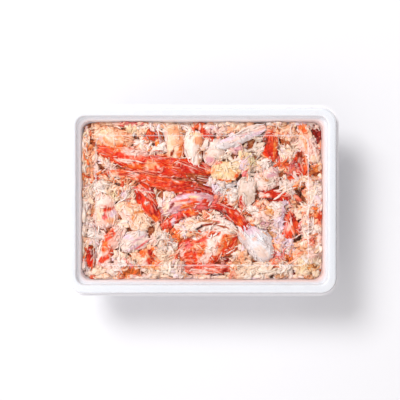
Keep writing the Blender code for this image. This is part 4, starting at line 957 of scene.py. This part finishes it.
# The umber and maroon marks, and some of the rust and fawn ones, are painted shade in deep gaps and along
# the heap's edge by the wall; the others are the meat's own colours.
heap_marks = [
    (-85, 55.5, 0, 3.7, 2.2, "rust"), (-82.5, 43, 80, 5.2, 2.2, "rust"),
    (-36.5, 49.5, -10, 6.7, 3.7, "scarlet"), (-41.5, 50, 0, 2.2, 2.2, "coral"),
    (-30.5, 48.5, 90, 5.2, 1.5, "rust"), (-47, 43, 20, 4.5, 3.0, "milk"), (-33.5, 40, 10, 6.0, 3.0, "milk"),
    (-37, 43, 0, 3.0, 1.1, "umber"), (-50, 47, -10, 3.7, 1.3, "umber"),
    (-77.5, 17.5, 80, 3.0, 1.3, "crimson"), (-83.5, 26.5, 90, 11.9, 2.2, "peach"),
    (-80.5, 22.5, 90, 8.9, 1.5, "blush"), (-76, 25.5, -40, 3.0, 1.5, "umber"),
    (-73, 24, 0, 3.0, 2.2, "grey"), (-68.5, 23.5, 0, 6.7, 2.2, "blush"), (-74, 7.5, 0, 11.9, 6.7, "cream"),
    (-77.5, 10, 0, 5.2, 3.7, "milk"), (-60.5, 7.5, -10, 3.0, 1.3, "coral"), (-64, 12, 0, 2.6, 1.5, "umber"),
    (-66.5, 7.5, 20, 4.5, 1.1, "fawn"), (-58, 3.5, 90, 4.5, 3.0, "lilac"), (-66.5, 4, 0, 3.7, 3.0, "straw"),
    (-71, -20.5, 25, 3.0, 2.2, "umber"), (-62, -9.5, -70, 2.2, 1.5, "mauve"),
    (-41, -16, -40, 5.2, 3.7, "grey"), (-51.5, -21.5, 25, 4.5, 2.2, "umber"),
    (-56.5, -26.5, 50, 3.7, 1.5, "rust"), (-34.5, -24.5, 60, 5.2, 4.5, "cream"),
    (-24, -22, -30, 4.5, 3.0, "coral"), (-18, -29.5, -50, 6.0, 3.0, "orange"),
    (-30.5, -28, 80, 5.2, 3.7, "pearl"), (-37, -30, -40, 4.5, 3.7, "blush"),
    (-37, -23, 60, 4.5, 0.7, "umber"), (-25.5, -20.5, 0, 3.7, 1.0, "maroon"),
    (-27.5, -41.5, 0, 6.7, 6.0, "cream"), (-27, -33, -30, 3.0, 1.9, "fawn"),
    (-53.5, -54, 0, 9.7, 3.7, "orange"), (-57.5, -50.5, 0, 6.0, 1.1, "rust"),
    (-53, -47.5, 0, 3.0, 1.0, "rose"), (-56, -42, -15, 6.7, 4.5, "cream"),
    (-59.5, -39, 0, 2.2, 1.0, "umber"), (-54.5, -43, 20, 5.2, 0.7, "rust"),
    (-69.5, -49.5, 10, 7.5, 4.5, "blush"), (-79, -54, 0, 6.0, 3.7, "cream"),
    (-76, -51, 0, 2.2, 1.5, "rose"), (-36, -55, -8, 10.4, 3.0, "cream"), (-35, -51, 0, 3.7, 1.1, "amber"),
    (-25.5, -52, 0, 6.0, 5.2, "ivory"), (-44.5, -55, 0, 1.5, 1.1, "maroon"),
    (-16.5, -38.5, 60, 3.7, 2.2, "milk"), (-18, -43, 0, 2.2, 2.2, "vermilion"),
    (-16.5, -49.5, 0, 4.5, 3.0, "blush"), (18, -46, -20, 2.6, 2.2, "garnet"),
    (13.5, -50.5, 0, 5.2, 4.5, "blush"), (11, -50.5, 0, 1.5, 1.1, "crimson"),
    (20, -42, 0, 3.7, 1.1, "umber"), (25.5, -38.5, 10, 4.5, 1.1, "rust"), (24.5, -36, 10, 6.0, 0.9, "milk"),
    (24.5, -32.5, -60, 4.5, 1.9, "maroon"), (31.5, -43, 0, 5.2, 3.7, "peach"),
    (38.5, -43, -45, 6.0, 1.3, "umber"), (36, -52, 0, 17.9, 6.0, "cream"),
    (44.5, -54, 0, 11.9, 3.0, "ivory"), (26, -46.5, -60, 3.0, 0.7, "fawn"),
    (59, -56.5, 0, 7.5, 0.7, "fawn"), (58, -53.5, 5, 8.9, 2.2, "ivory"),
    (68.5, -53.5, 80, 3.7, 1.3, "maroon"), (62, -50.5, 0, 4.5, 2.2, "milk"),
    (79.5, -50.5, 0, 9.7, 7.5, "straw"), (82, -51, -20, 5.2, 2.2, "amber"),
    (76, -55, 30, 4.5, 1.5, "cream"), (66.5, -43.5, -10, 6.7, 3.0, "orange"),
    (64, -46, -25, 3.7, 0.7, "rust"), (59, -41.5, -40, 3.7, 3.0, "rose"),
    (56, -38.5, 60, 4.5, 1.5, "crimson"), (63.5, -32.5, 0, 6.0, 3.7, "lilac"),
    (57.5, -29.5, 60, 3.7, 2.2, "lilac"), (71, -29, -10, 3.7, 1.5, "umber"),
    (72.5, -35.5, 0, 5.2, 3.7, "peach"), (76, -37.5, 0, 3.7, 3.0, "amber"),
    (76.5, -12.5, 0, 3.0, 3.0, "blush"), (76.5, -23.5, 70, 6.7, 2.2, "blush"),
    (74.5, -20, 80, 3.7, 1.5, "rose"), (85.5, -27.5, -40, 3.0, 2.2, "orange"),
    (82, -31.5, -30, 3.0, 2.2, "vermilion"), (83.5, -21.5, 0, 3.7, 3.7, "milk"),
    (84, -40, 0, 5.2, 3.7, "blush"), (86.5, -6.5, 70, 6.0, 2.2, "orange"),
    (88, -14, 80, 4.5, 2.2, "scarlet"), (74.5, 3.5, -60, 6.0, 3.0, "umber"),
    (76, 10.5, 0, 3.0, 3.0, "rust"), (71, 10, 80, 3.7, 2.2, "orange"), (73, -2, 80, 4.5, 1.5, "maroon"),
    (61, 3.5, 15, 3.7, 2.2, "vermilion"), (68, 16, -30, 3.7, 1.9, "vermilion"),
    (72.5, 16.5, 10, 3.0, 1.1, "rust"), (62.5, 20.5, -60, 3.0, 1.1, "umber"),
    (62, 13, 0, 4.5, 2.2, "pearl"), (68, 25.5, 80, 4.5, 3.0, "rose"), (85, 21, 20, 5.2, 4.5, "rust"),
    (83.5, 24, -20, 3.7, 1.5, "orange"), (86.5, 50, -65, 6.7, 3.0, "garnet"),
    (69.5, 51, 0, 4.5, 4.5, "peach"), (71, 54, 90, 1.5, 1.5, "umber"), (66.5, 40, 20, 5.2, 5.2, "cream"),
    (75, 39, 60, 3.0, 1.5, "coral"), (71.5, 44.5, 0, 3.7, 3.0, "blush"), (60.5, 28, -20, 4.5, 3.7, "coral"),
    (58, 31.5, 0, 3.7, 1.5, "rose"), (61, 44.5, 0, 3.0, 3.0, "rust"), (56.5, 54, 0, 5.2, 1.9, "rust"),
    (51.5, 52.5, 30, 3.7, 1.1, "coral"), (65, 54, 80, 3.7, 2.2, "peach"), (41.5, 40, 80, 6.7, 4.5, "grey"),
    (41, 43.5, 0, 3.0, 2.2, "straw"), (36, 40.5, 85, 4.5, 1.3, "umber"), (37, 37, -30, 2.2, 1.1, "umber"),
    (25.5, 40, 0, 6.7, 3.4, "mauve"), (21, 40, 0, 2.2, 1.5, "rose"), (23, 33, 50, 2.2, 1.1, "umber"),
    (27, 34.5, 0, 1.5, 0.9, "umber"), (20, 31.5, 0, 3.7, 3.7, "ivory"), (33, 33, -20, 5.2, 3.7, "straw"),
    (38.5, 29.5, 60, 4.5, 3.0, "olive"), (38, 22, 0, 3.7, 3.7, "grey"), (45.5, 28.5, -40, 5.2, 3.0, "milk"),
    (41.5, 31.5, -45, 4.5, 0.7, "umber"), (49, 32.5, -60, 3.7, 0.9, "rust"),
    (30.5, 25.5, 60, 5.2, 1.9, "lilac"), (31.5, 19.5, 0, 3.0, 1.9, "rose"), (33, 22, -10, 3.0, 0.9, "rust"),
    (39.5, 17.5, -20, 3.0, 0.9, "fawn"), (21, 7.5, 0, 6.7, 5.2, "mist"), (14, 7.5, 8, 9.7, 5.2, "mist"),
    (23, 2.5, 75, 6.0, 3.0, "milk"), (8, 10, 0, 4.5, 2.2, "lilac"), (16.5, 5, 0, 4.5, 3.7, "milk"),
    (18.5, 7.5, 0, 1.1, 0.7, "fawn"), (9, 3.5, -60, 3.7, 3.0, "vermilion"),
    (6.5, 10.5, 0, 3.7, 2.2, "lilac"), (7.5, 6.5, 0, 3.7, 1.9, "rose"), (3, -2, 0, 3.0, 2.6, "vermilion"),
    (-0.5, -5.5, 0, 3.0, 3.0, "blush"), (12.5, 2.5, 70, 4.5, 1.9, "rose"), (37, -5.5, 0, 6.0, 4.5, "milk"),
    (33.5, -10, -50, 3.7, 1.5, "rust"), (36, -12.5, 0, 1.5, 1.1, "umber"),
    (50.5, -8, -30, 5.2, 2.2, "amber"), (44.5, -13, 0, 6.7, 4.5, "blush"),
    (47.5, -17, 0, 5.2, 3.0, "mauve"), (60.5, -9.5, 80, 3.7, 1.5, "garnet"),
    (59, -16, 80, 8.9, 3.7, "lilac"), (63.5, -2, 0, 3.0, 2.2, "lilac"), (68.5, -5, 85, 4.5, 2.2, "peach"),
    (53, -23.5, -60, 5.2, 1.9, "fawn"), (48.5, -23.5, -40, 3.0, 1.1, "umber"),
    (51.5, -28, -70, 3.0, 1.1, "umber"), (54.5, 0.5, 0, 4.5, 2.2, "blush"),
    (51.5, -1, 0, 3.0, 0.9, "straw"), (56.5, -34, 70, 4.5, 1.5, "peach"),
    (0.5, 51.5, -5, 8.9, 2.2, "scarlet"), (4.5, 48.5, -30, 4.5, 1.5, "scarlet"),
    (-3.5, 55.5, 20, 4.5, 1.5, "coral"), (3, 55.5, 15, 4.5, 1.5, "blush"),
    (8, 51.5, -30, 3.0, 1.5, "maroon"), (-9, 51.5, 0, 6.0, 0.9, "fawn"),
    (28.5, 54.5, 0, 16.4, 2.6, "cream"), (22.5, 52.5, -10, 6.0, 1.5, "peach"),
    (13.5, 52.5, 0, 4.5, 2.2, "blush"), (-53.5, 53, -5, 8.9, 2.2, "straw"),
    (-60.5, 54.5, -15, 4.5, 1.1, "rust"), (-46, 50, 0, 4.5, 3.0, "peach"), (-51.5, 50, 0, 3.0, 2.2, "milk"),
    (-74, 57, 5, 10.4, 1.5, "peach"), (-53.5, 57.5, 0, 10.4, 1.1, "rose"), (2, 16, 0, 3.7, 1.5, "maroon"),
    (2, 8.5, -60, 3.7, 1.5, "maroon"), (-9, 7, -10, 8.9, 1.1, "rust"), (-27.5, 9, 0, 3.7, 1.1, "umber"),
    (-25.5, 7.5, 0, 4.5, 1.9, "milk"), (-18.5, 7.5, 50, 3.0, 1.1, "umber"),
    (-37, 8.5, 0, 2.2, 1.5, "garnet"), (-40, 13.5, 30, 4.5, 1.1, "blush"),
    (-30.5, 4, 60, 3.0, 1.5, "umber"), (-55, 13, -5, 7.5, 1.5, "peach"), (-46, 12, -5, 6.7, 0.7, "rust"),
    (-53.5, 4, 0, 3.7, 4.5, "cream"), (-62.5, 2, 80, 2.2, 1.1, "fawn"), (-61, -10, -80, 2.2, 0.9, "umber"),
    (-30.5, -9.5, 90, 5.2, 2.2, "peach"), (-31.5, -16, 0, 3.7, 3.0, "blush"),
    (-1.5, -46, 0, 7.5, 1.5, "coral"), (7.5, -46, 15, 4.5, 1.1, "garnet"), (-12, -46, 0, 4.5, 2.2, "peach"),
    (17, -37, 0, 3.7, 1.5, "rust"), (27, -23, 90, 2.2, 1.1, "garnet"), (-9, 26.5, 0, 3.0, 1.1, "ivory"),
    (-12.5, 28, -20, 4.5, 1.1, "orange"), (0, 27, -40, 3.7, 1.9, "fawn"), (3.5, 26.5, 0, 3.0, 2.2, "olive"),
]
SHADED_GAP_TONES, KEPT_OUT = {"umber", "maroon"}, 0.85  # tones painted as shade in a deep gap, and the share kept out of it
HUGGING = 0.3  # share of the loose pieces that lie close along the wall
STEEPEST = 0.25  # how far a loose piece's end may lie above its middle, as a share of its length
JITTER = 0.11  # how far the points of a loose lump are off, mm


def settle(draw, number, lengths, widths, thicks, bends, sink, cover):
    """Lays pieces on the heap one after another, and returns the rows of those that found a place.

    A piece drops at a random place and heading, or close along the wall. Its middle and slope are those of
    the straight line that best fits the heights under five points of it. It sinks in by a share of its
    thickness, raises the heights under it, and is left out where it would touch the lid, lie in a deep gap,
    or cover a large piece by more than the share `cover`.
    """
    room = HALF + 0.7
    at = draw.uniform(-room + 0.8, room - 0.8, (number, 2))
    turn = draw.uniform(0, 360, number)
    bend = draw.uniform(-bends, bends, number)
    length = draw.uniform(*lengths, number)
    width = draw.uniform(*widths, number)
    thick = draw.uniform(*thicks, number)
    across, hugs = draw.integers(0, 2, number), draw.uniform(0, 1, number) < HUGGING
    each = np.arange(number)
    beside = draw.choice([-1, 1], number) * (room[across] - 0.35 * width)
    at[each, across] = np.where(hugs, beside, at[each, across])
    turn = np.where(hugs, 90 - 90 * across + draw.uniform(-14, 14, number), turn)
    bend = np.where(hugs, 0.3 * bend, bend)
    steps = np.linspace(-0.8, 0.8, 5)
    x, y, heading = arc(at.T[..., None], turn[:, None], bend[:, None], length[:, None], steps)
    side = np.array([-0.3, 0, 0.3])
    wide_x = x[..., None] - np.sin(heading)[..., None] * side * width[:, None, None]
    wide_y = y[..., None] + np.cos(heading)[..., None] * side * width[:, None, None]
    over = np.clip(np.abs(np.stack([wide_x, wide_y], axis=-1)) - (room - CORNER_LEAST), 0, None)
    inside = np.linalg.norm(over, axis=-1).max(axis=(1, 2)) < CORNER_LEAST - 0.1
    deep = np.zeros(number, bool)
    for mark_x, mark_y, way, long, wide, tone in heap_marks:
        if tone in SHADED_GAP_TONES:
            c, s = math.cos(math.radians(way)), math.sin(math.radians(way))
            u = ((x - mark_x) * c + (y - mark_y) * s) / (long + 0.3)
            v = ((y - mark_y) * c - (x - mark_x) * s) / (wide + 0.3)
            deep |= (np.hypot(u, v) < 1.05).any(axis=1)
    deep &= draw.uniform(0, 1, number) < KEPT_OUT
    i, j = cells_of(wide_x, wide_y)
    middle, slope, kept = np.zeros(number), np.zeros(number), np.zeros(number, bool)
    for k in range(number):
        if not inside[k] or deep[k] or occupied[i[k], j[k]].mean() > cover:
            continue
        under = heights[i[k], j[k]]
        line = under.mean(axis=1)
        rise = (steps * line).sum() / (steps**2).sum()
        rise = np.clip(rise, -STEEPEST * length[k], STEEPEST * length[k])
        level = line.mean() + thick[k] * (0.5 - sink)
        top = level + abs(rise) + thick[k] / 2
        if top > CEILING - 0.1:
            continue
        kept[k], middle[k], slope[k] = True, level, rise
        heights[i[k], j[k]] = np.maximum(under, (level + rise * steps + 0.3 * thick[k])[:, None])
    rows = dict(at=at, turn=turn, bend=bend, length=length, width=width, thick=thick)
    rows.update(middle=middle, slope=slope)
    return {name: value[kept] for name, value in rows.items()}


def loose_tones(draw, rows):
    """Two tones for each loose piece.

    Where the rows name a tone, both are that one. Otherwise each is a common tone, picked by the piece's
    rank in smooth noise, so that neighbours are much alike, with the marks of the heap laid over it.
    """
    if "tone" in rows:
        own = np.array([TONES[name] for name in rows["tone"]])
        return own, own
    number = len(rows["turn"])
    x, y = rows["at"].T
    pick, shares = np.array([TONES[name] for name in COMMON]), np.cumsum(list(COMMON.values()))
    mood = grain(x / 6, y / 6, 71) + 0.5 * grain(x / 2.5, y / 2.5, 72)
    ranks = [np.argsort(np.argsort(mood + draw.uniform(-0.7, 0.7, number))) / number for _ in range(2)]
    first, second = (pick[np.searchsorted(shares, 0.999 * rank)] for rank in ranks)
    ragged = draw.uniform(-0.35, 0.25, number)
    first = stained(first, x, y, heap_marks, ragged)
    second = stained(second, x, y, heap_marks, ragged + draw.uniform(-0.4, 0.2, number))
    value = draw.uniform(0.90, 1.06, (number, 1))
    return np.clip(first * value, 0, 1), np.clip(second * value, 0, 1)


def loose_lumps(draw, rows, stations, sides, ribs, scallop, blunt, curl):
    """Grids of chunks or flakes.

    A lump is an ellipse carried along its arc and closed by (1 - |along|^blunt)^(1/blunt). Its outline is
    scalloped into `ribs` fibres, each of which breaks off at its own length. It is rolled about its line,
    twisted along it and, by `curl`, bowed like a gutter, and every point is off by about JITTER.
    """
    number = len(rows["turn"])
    one = (number, 1, 1)
    names = ("turn", "bend", "length", "width", "thick", "middle", "slope")
    turn, bend, length, width, thick, middle, slope = (rows[name][:, None, None] for name in names)
    along = np.linspace(-0.96, 0.96, stations)[None, :, None]
    angle = np.linspace(0, 2 * math.pi, sides, endpoint=False)[None, None, :]
    ends = 1 + draw.uniform(-0.3, 0.25, (number, 1, sides))
    place = along * ends
    close = (1 - np.abs(along) ** blunt) ** (1 / blunt)
    lobes = np.cos(draw.integers(*ribs, one) * angle + draw.uniform(0, 6.3, one) + 0.8 * along)
    swell = close * (1 + scallop * lobes) * (1 + draw.uniform(-0.4, 0.4, one) * along)
    across = width / 2 * swell * np.cos(angle)
    rise = thick / 2 * swell * np.sin(angle)
    rise = rise + curl * draw.uniform(-1, 1, one) * across**2 / width
    roll = draw.uniform(-0.5, 0.5, one) + draw.uniform(-0.8, 0.8, one) * along
    across, rise = across * np.cos(roll) - rise * np.sin(roll), across * np.sin(roll) + rise * np.cos(roll)
    x, y, heading = arc(rows["at"].T[..., None, None], turn, bend, length, place)
    sag = 0.12 * length * draw.uniform(-0.6, 1, one) * (0.4 - along**2)
    z = middle + slope * place + rise + sag
    grid = np.stack([x - across * np.sin(heading), y + across * np.cos(heading), z], axis=-1)
    grid += draw.normal(0, JITTER, grid.shape)
    first, second = loose_tones(draw, rows)
    part = 0.5 + 0.5 * np.sin(angle + draw.uniform(0, 6.3, one) + 1.5 * along)
    tone = first[:, None, None] * (1 - part[..., None]) + second[:, None, None] * part[..., None]
    # Painted shade: each lump's colour darkens and deepens on its underside.
    under = np.clip(0.5 - np.sin(angle + 0 * along), 0, 1)[..., None]
    tone = np.broadcast_to(tone ** (1 + 0.8 * under), grid.shape)
    girth = math.pi * (rows["width"] + rows["thick"]) / 2
    return grid, tone, rows["length"], girth


def loose_strands(draw, rows, stations, sides, wave):
    """Grids of shreds or threads: round rods along arcs that also wave sideways and up and down."""
    number = len(rows["turn"])
    one = (number, 1)
    names = ("turn", "bend", "length", "width", "middle", "slope")
    turn, bend, length, width, middle, slope = (rows[name][:, None] for name in names)
    along = np.linspace(-1, 1, stations)[None, :]
    x, y, heading = arc(rows["at"].T[..., None], turn, bend, length, along)
    sway = wave * length * np.sin(draw.uniform(2, 5, one) * along + draw.uniform(0, 6, one))
    lift = 0.05 * length * np.sin(draw.uniform(2, 4, one) * along + draw.uniform(0, 6, one))
    z = middle + slope * along + lift
    path = np.stack([x - sway * np.sin(heading), y + sway * np.cos(heading), z], axis=-1)
    taper = np.sqrt(np.clip(1 - np.abs(along) ** 4, 0.2, 1)) * (1 + draw.uniform(-0.4, 0.4, one) * along)
    taper = taper * (1 + 0.2 * draw.uniform(-1, 1, (number, stations)))
    first, second = loose_tones(draw, rows)
    part = (0.5 + 0.5 * along)[..., None]
    hue = first[:, None] * (1 - part) + second[:, None] * part
    return strand_kind(path, width / 2 * taper, hue, sides)


def lay_loose(name, kind, made):
    """One object of all the loose pieces of a kind, kept inside the tub and under the lid."""
    points, triangles, tones, maps = gathered([kind])
    piece = written(name, kept_inside(points), triangles, tones, maps, made)
    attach(piece, "root")
    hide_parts("flaked_meat")


loose_flesh = crab_flesh("flaked_crab_flesh", 0.0016, 0.4)
draw = np.random.default_rng(7)
rows = settle(draw, 5200, (3.6, 8), (2.2, 4.6), (2.0, 3.4), 60, 0.3, 0.3)
lay_loose("loose_chunks", loose_lumps(draw, rows, 8, 9, (2, 4), 0.20, 3.0, 0.1), loose_flesh)
rows = settle(draw, 4600, (4, 11), (1.6, 4.0), (0.9, 1.6), 80, 0.25, 0.3)
lay_loose("loose_flakes", loose_lumps(draw, rows, 7, 12, (3, 5), 0.24, 2.4, 0.9), loose_flesh)
rows = settle(draw, 3600, (4, 13), (0.6, 1.4), (0.6, 1.3), 110, 0.15, 0.45)
lay_loose("loose_shreds", loose_strands(draw, rows, 10, 5, 0.04), loose_flesh)
rows = settle(draw, 2200, (3, 9), (0.45, 0.8), (0.45, 0.8), 150, 0.0, 0.7)
lay_loose("loose_threads", loose_strands(draw, rows, 8, 4, 0.06), loose_flesh)


# A few long shreds that lie on top of everything, half a millimetre over the heights they cross. Each row
# is a shred's middle, heading, bend, length, width and tone.
long_shreds = [
    (62, 6, 29, -10, 19.4, 1.5, "milk"), (60.5, 9, 20, 12, 12.7, 1.2, "milk"),
    (76.5, -23, -80, 60, 14.9, 1.2, "ivory"), (72.5, -26.5, 25, -20, 11.2, 1.0, "blush"),
    (-4, -60, 86, 8, 6.7, 1.3, "milk"), (-47, 43.5, 20, 30, 8.2, 1.9, "milk"),
    (-39.5, 41.5, 60, -20, 6.7, 1.8, "milk"), (-33.5, 38.5, -10, 20, 8.9, 1.6, "milk"),
    (-41.5, 37.5, -20, 10, 6.7, 1.3, "blush"), (32, 53, 20, -8, 22.4, 1.2, "pearl"),
    (85.5, 34, -75, 15, 12.7, 2.4, "milk"), (-24, -50.5, 85, 10, 8.9, 1.9, "ivory"),
    (-19.5, -49, 75, -15, 7.5, 1.5, "ivory"), (-59.5, 0.5, 40, 30, 13.4, 1.0, "milk"),
    (-52, 29.5, -10, 8, 16.4, 1.2, "blush"), (-38.5, 24, -8, -6, 11.9, 1.0, "rose"),
    (-18, 30, 40, 10, 6.7, 1.0, "blush"), (-47, 8.5, -12, 10, 14.9, 1.1, "rose"),
    (-41.5, 6.5, -10, -8, 11.9, 1.0, "blush"), (49, -26.5, -40, 10, 8.9, 0.9, "peach"),
    (66.5, -31.5, 50, -30, 8.9, 1.0, "blush"), (81, -4, 80, 10, 16.4, 1.5, "ivory"),
    (84, 3.5, 70, -14, 11.9, 1.3, "milk"), (44.5, 38.5, 60, 30, 8.9, 1.0, "milk"),
    (21.5, -38.5, 30, 20, 7.5, 1.0, "milk"), (27, -34.5, 20, -10, 6.0, 1.0, "ivory"),
    (-33.5, -31.5, 50, 14, 8.9, 1.2, "grey"), (-51.5, -26.5, 35, 10, 8.2, 1.2, "milk"),
    (-1.5, -19, 20, -30, 16.4, 1.2, "milk"),
]
x, y, turn, bend, length, width = np.array([row[:6] for row in long_shreds], float).T
steps = np.linspace(-0.8, 0.8, 5)
line_x, line_y, _ = arc((x[:, None], y[:, None]), turn[:, None], bend[:, None], length[:, None], steps)
under = heights[cells_of(line_x, line_y)]
rise = (steps * under).sum(axis=1) / (steps**2).sum()
rows = dict(at=np.stack([x, y], axis=1), turn=turn, bend=bend, length=length, width=width, thick=width)
rows.update(middle=under.mean(axis=1) + 0.5, slope=rise, tone=[row[6] for row in long_shreds])
lay_loose("long_shreds", loose_strands(draw, rows, 16, 7, 0.03), loose_flesh)


# The lid. Thermoformed clear sheet, 0.6 mm: a sunk middle panel, a border on the tub's ledge, a crown over
# its rim and a skirt that flares into a lip.
SHEET, PANEL_INSET, PANEL_SINK, TOP = 0.6, 22.9, 1.2, 49.0
border = LEDGE + 0.3 + SHEET  # its top, with the sheet 0.3 mm clear of the ledge
plug, skirt = RIM_INNER + 0.35, RIM_OUTER - 0.3  # the sheet's insets either side of the rim, clear of it
lid_profile = softened(
    [
        (PANEL_INSET + 25, border - PANEL_SINK, 0),
        (PANEL_INSET + 0.5, border - PANEL_SINK, 0.5),
        (PANEL_INSET - 0.4, border, 0.5),
        (plug + SHEET + 0.6, border, 1.0),
        (plug + SHEET, TOP, 1.3),
        (skirt, TOP, 1.1),
        (skirt - SHEET + 0.1, RIM_FOOT + 0.2, 0.5),
        (0.0, RIM_FOOT + 0.2, 0.2),
        (0.0, RIM_FOOT + 0.2 - SHEET, 0.2),
        (skirt, RIM_FOOT + 0.2 - SHEET, 0.7),
        (skirt + SHEET - 0.1, TOP - SHEET, 0.8),
        (plug, TOP - SHEET, 0.9),
        (plug + 0.5, border - SHEET, 0.8),
        (PANEL_INSET - 0.6, border - SHEET, 0.5),
        (PANEL_INSET + 0.3, border - SHEET - PANEL_SINK, 0.5),
        (PANEL_INSET + 25, border - SHEET - PANEL_SINK, 0),
    ]
)
HEM_MILK, FOLD_WHITENING_AND_GLINT = 0.85, 0.2  # share of what lies behind that the whitened lip, and the panel's fold with its whitening and painted glint, hide


def clear_sheet():
    """Clear PET sheet that shines more the flatter it is seen, whitened at its lip, and at its panel's fold
    whitened partly by stress and partly as a painted glint.
    """
    made, tree = new_material("clear_pet_sheet")
    place = add(tree, "ShaderNodeTexCoord").outputs["Object"]
    waves = add(tree, "ShaderNodeTexNoise", {"Vector": place, "Scale": 35.0, "Detail": 1.0})
    dents = add(tree, "ShaderNodeBump", {"Height": waves.outputs[0], "Strength": 0.25, "Distance": 0.0004})
    glance = add(tree, "ShaderNodeFresnel", {"IOR": 1.18, "Normal": dents.outputs["Normal"]})
    lit = combined(tree, "SUBTRACT", 1.0, add(tree, "ShaderNodeLightPath").outputs["Is Shadow Ray"])
    front = combined(tree, "SUBTRACT", 1.0, add(tree, "ShaderNodeNewGeometry").outputs["Backfacing"])
    sheen = combined(tree, "MULTIPLY", glance.outputs["Fac"], front)
    inset = add(tree, "ShaderNodeAttribute", attribute_name="inset").outputs["Fac"]
    # The white band on the panel's fold is partly stress-whitening and partly a painted glint.
    fold = combined(tree, "MULTIPLY", combined(tree, "COMPARE", inset, PANEL_INSET, 0.45), FOLD_WHITENING_AND_GLINT)
    pale = combined(tree, "ADD", fold, ranged(tree, inset, 1.2, 2.6, HEM_MILK, 0.0))
    seen = combined(tree, "MULTIPLY", combined(tree, "MAXIMUM", sheen, pale), lit)
    bare = add(tree, "ShaderNodeBsdfTransparent", {"Color": (1, 1, 1, 1)})
    sheet = add(
        tree,
        "ShaderNodeBsdfPrincipled",
        {
            "Base Color": (*linear("F6F3F6"), 1),
            "Roughness": 0.12,
            "Normal": dents.outputs["Normal"],
            "IOR": 1.57,
        },
    )
    mixed = add(tree, "ShaderNodeMixShader", {0: seen, 1: bare.outputs[0], 2: sheet.outputs[0]})
    add(tree, "ShaderNodeOutputMaterial", {"Surface": mixed.outputs[0]})
    return made


lid = moulded("lid_clear", lid_profile, clear_sheet(), outwards=False)
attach(lid, "root")
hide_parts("lid")


# The floor, the light and the camera. The floor is matt white paper, the key light stands high on the side
# of -X and +Y, and the camera looks straight down.
floor_mesh = bpy.data.meshes.new("floor")
floor_mesh.from_pydata([(-3, -3, 0), (3, -3, 0), (3, 3, 0), (-3, 3, 0)], [], [(0, 1, 2, 3)])
floor = bpy.data.objects.new("floor", floor_mesh)
bpy.context.scene.collection.objects.link(floor)
paper, tree = new_material("matt_white_paper")
place = add(tree, "ShaderNodeTexCoord").outputs["Object"]
tooth = add(tree, "ShaderNodeTexNoise", {"Vector": place, "Scale": 900.0})
rough = ranged(tree, tooth.outputs["Fac"], 0, 1, 0.85, 0.95)
shader = add(
    tree,
    "ShaderNodeBsdfPrincipled",
    {"Base Color": (*linear("E8E7EA"), 1), "Roughness": rough, "Specular IOR Level": 0.1},
)
add(tree, "ShaderNodeOutputMaterial", {"Surface": shader.outputs["BSDF"]})
floor_mesh.materials.append(paper)

# The room is a pale sky, brighter towards -Y and -X, where the windows are.
world = bpy.data.worlds.new("studio")
world.use_nodes = True
sky = world.node_tree
way = add(sky, "ShaderNodeTexCoord").outputs["Generated"]
windows = add(sky, "ShaderNodeVectorMath", {0: way, 1: (-0.26, -0.50, 0)}, operation="DOT_PRODUCT")
bright = combined(sky, "ADD", windows.outputs["Value"], 0.72)
sky.nodes["Background"].inputs["Color"].default_value = (1.0, 0.985, 0.985, 1)
sky.links.new(bright, sky.nodes["Background"].inputs["Strength"])
bpy.context.scene.world = world


def softbox(name, place, size, watts):
    """A square light that faces the tub."""
    lamp = bpy.data.lights.new(name, "AREA")
    lamp.size, lamp.energy = size, watts
    made = bpy.data.objects.new(name, lamp)
    made.location = place
    x, y, z = place
    made.rotation_euler = (math.atan2(math.hypot(x, y), z), 0, math.atan2(y, x) + math.pi / 2)
    bpy.context.scene.collection.objects.link(made)


softbox("key", (-0.915, 0.96, 1.545), 0.81, 32.2)

camera_data = bpy.data.cameras.new("camera")
camera_data.lens, camera_data.sensor_width = 108.7, 36
camera = bpy.data.objects.new("camera", camera_data)
camera.location = (-0.0015, 0.0003, 0.048 + 0.9)  # 0.9 m over the tub's rim
bpy.context.scene.collection.objects.link(camera)
bpy.context.scene.camera = camera
bpy.context.scene.view_settings.view_transform = "Standard"
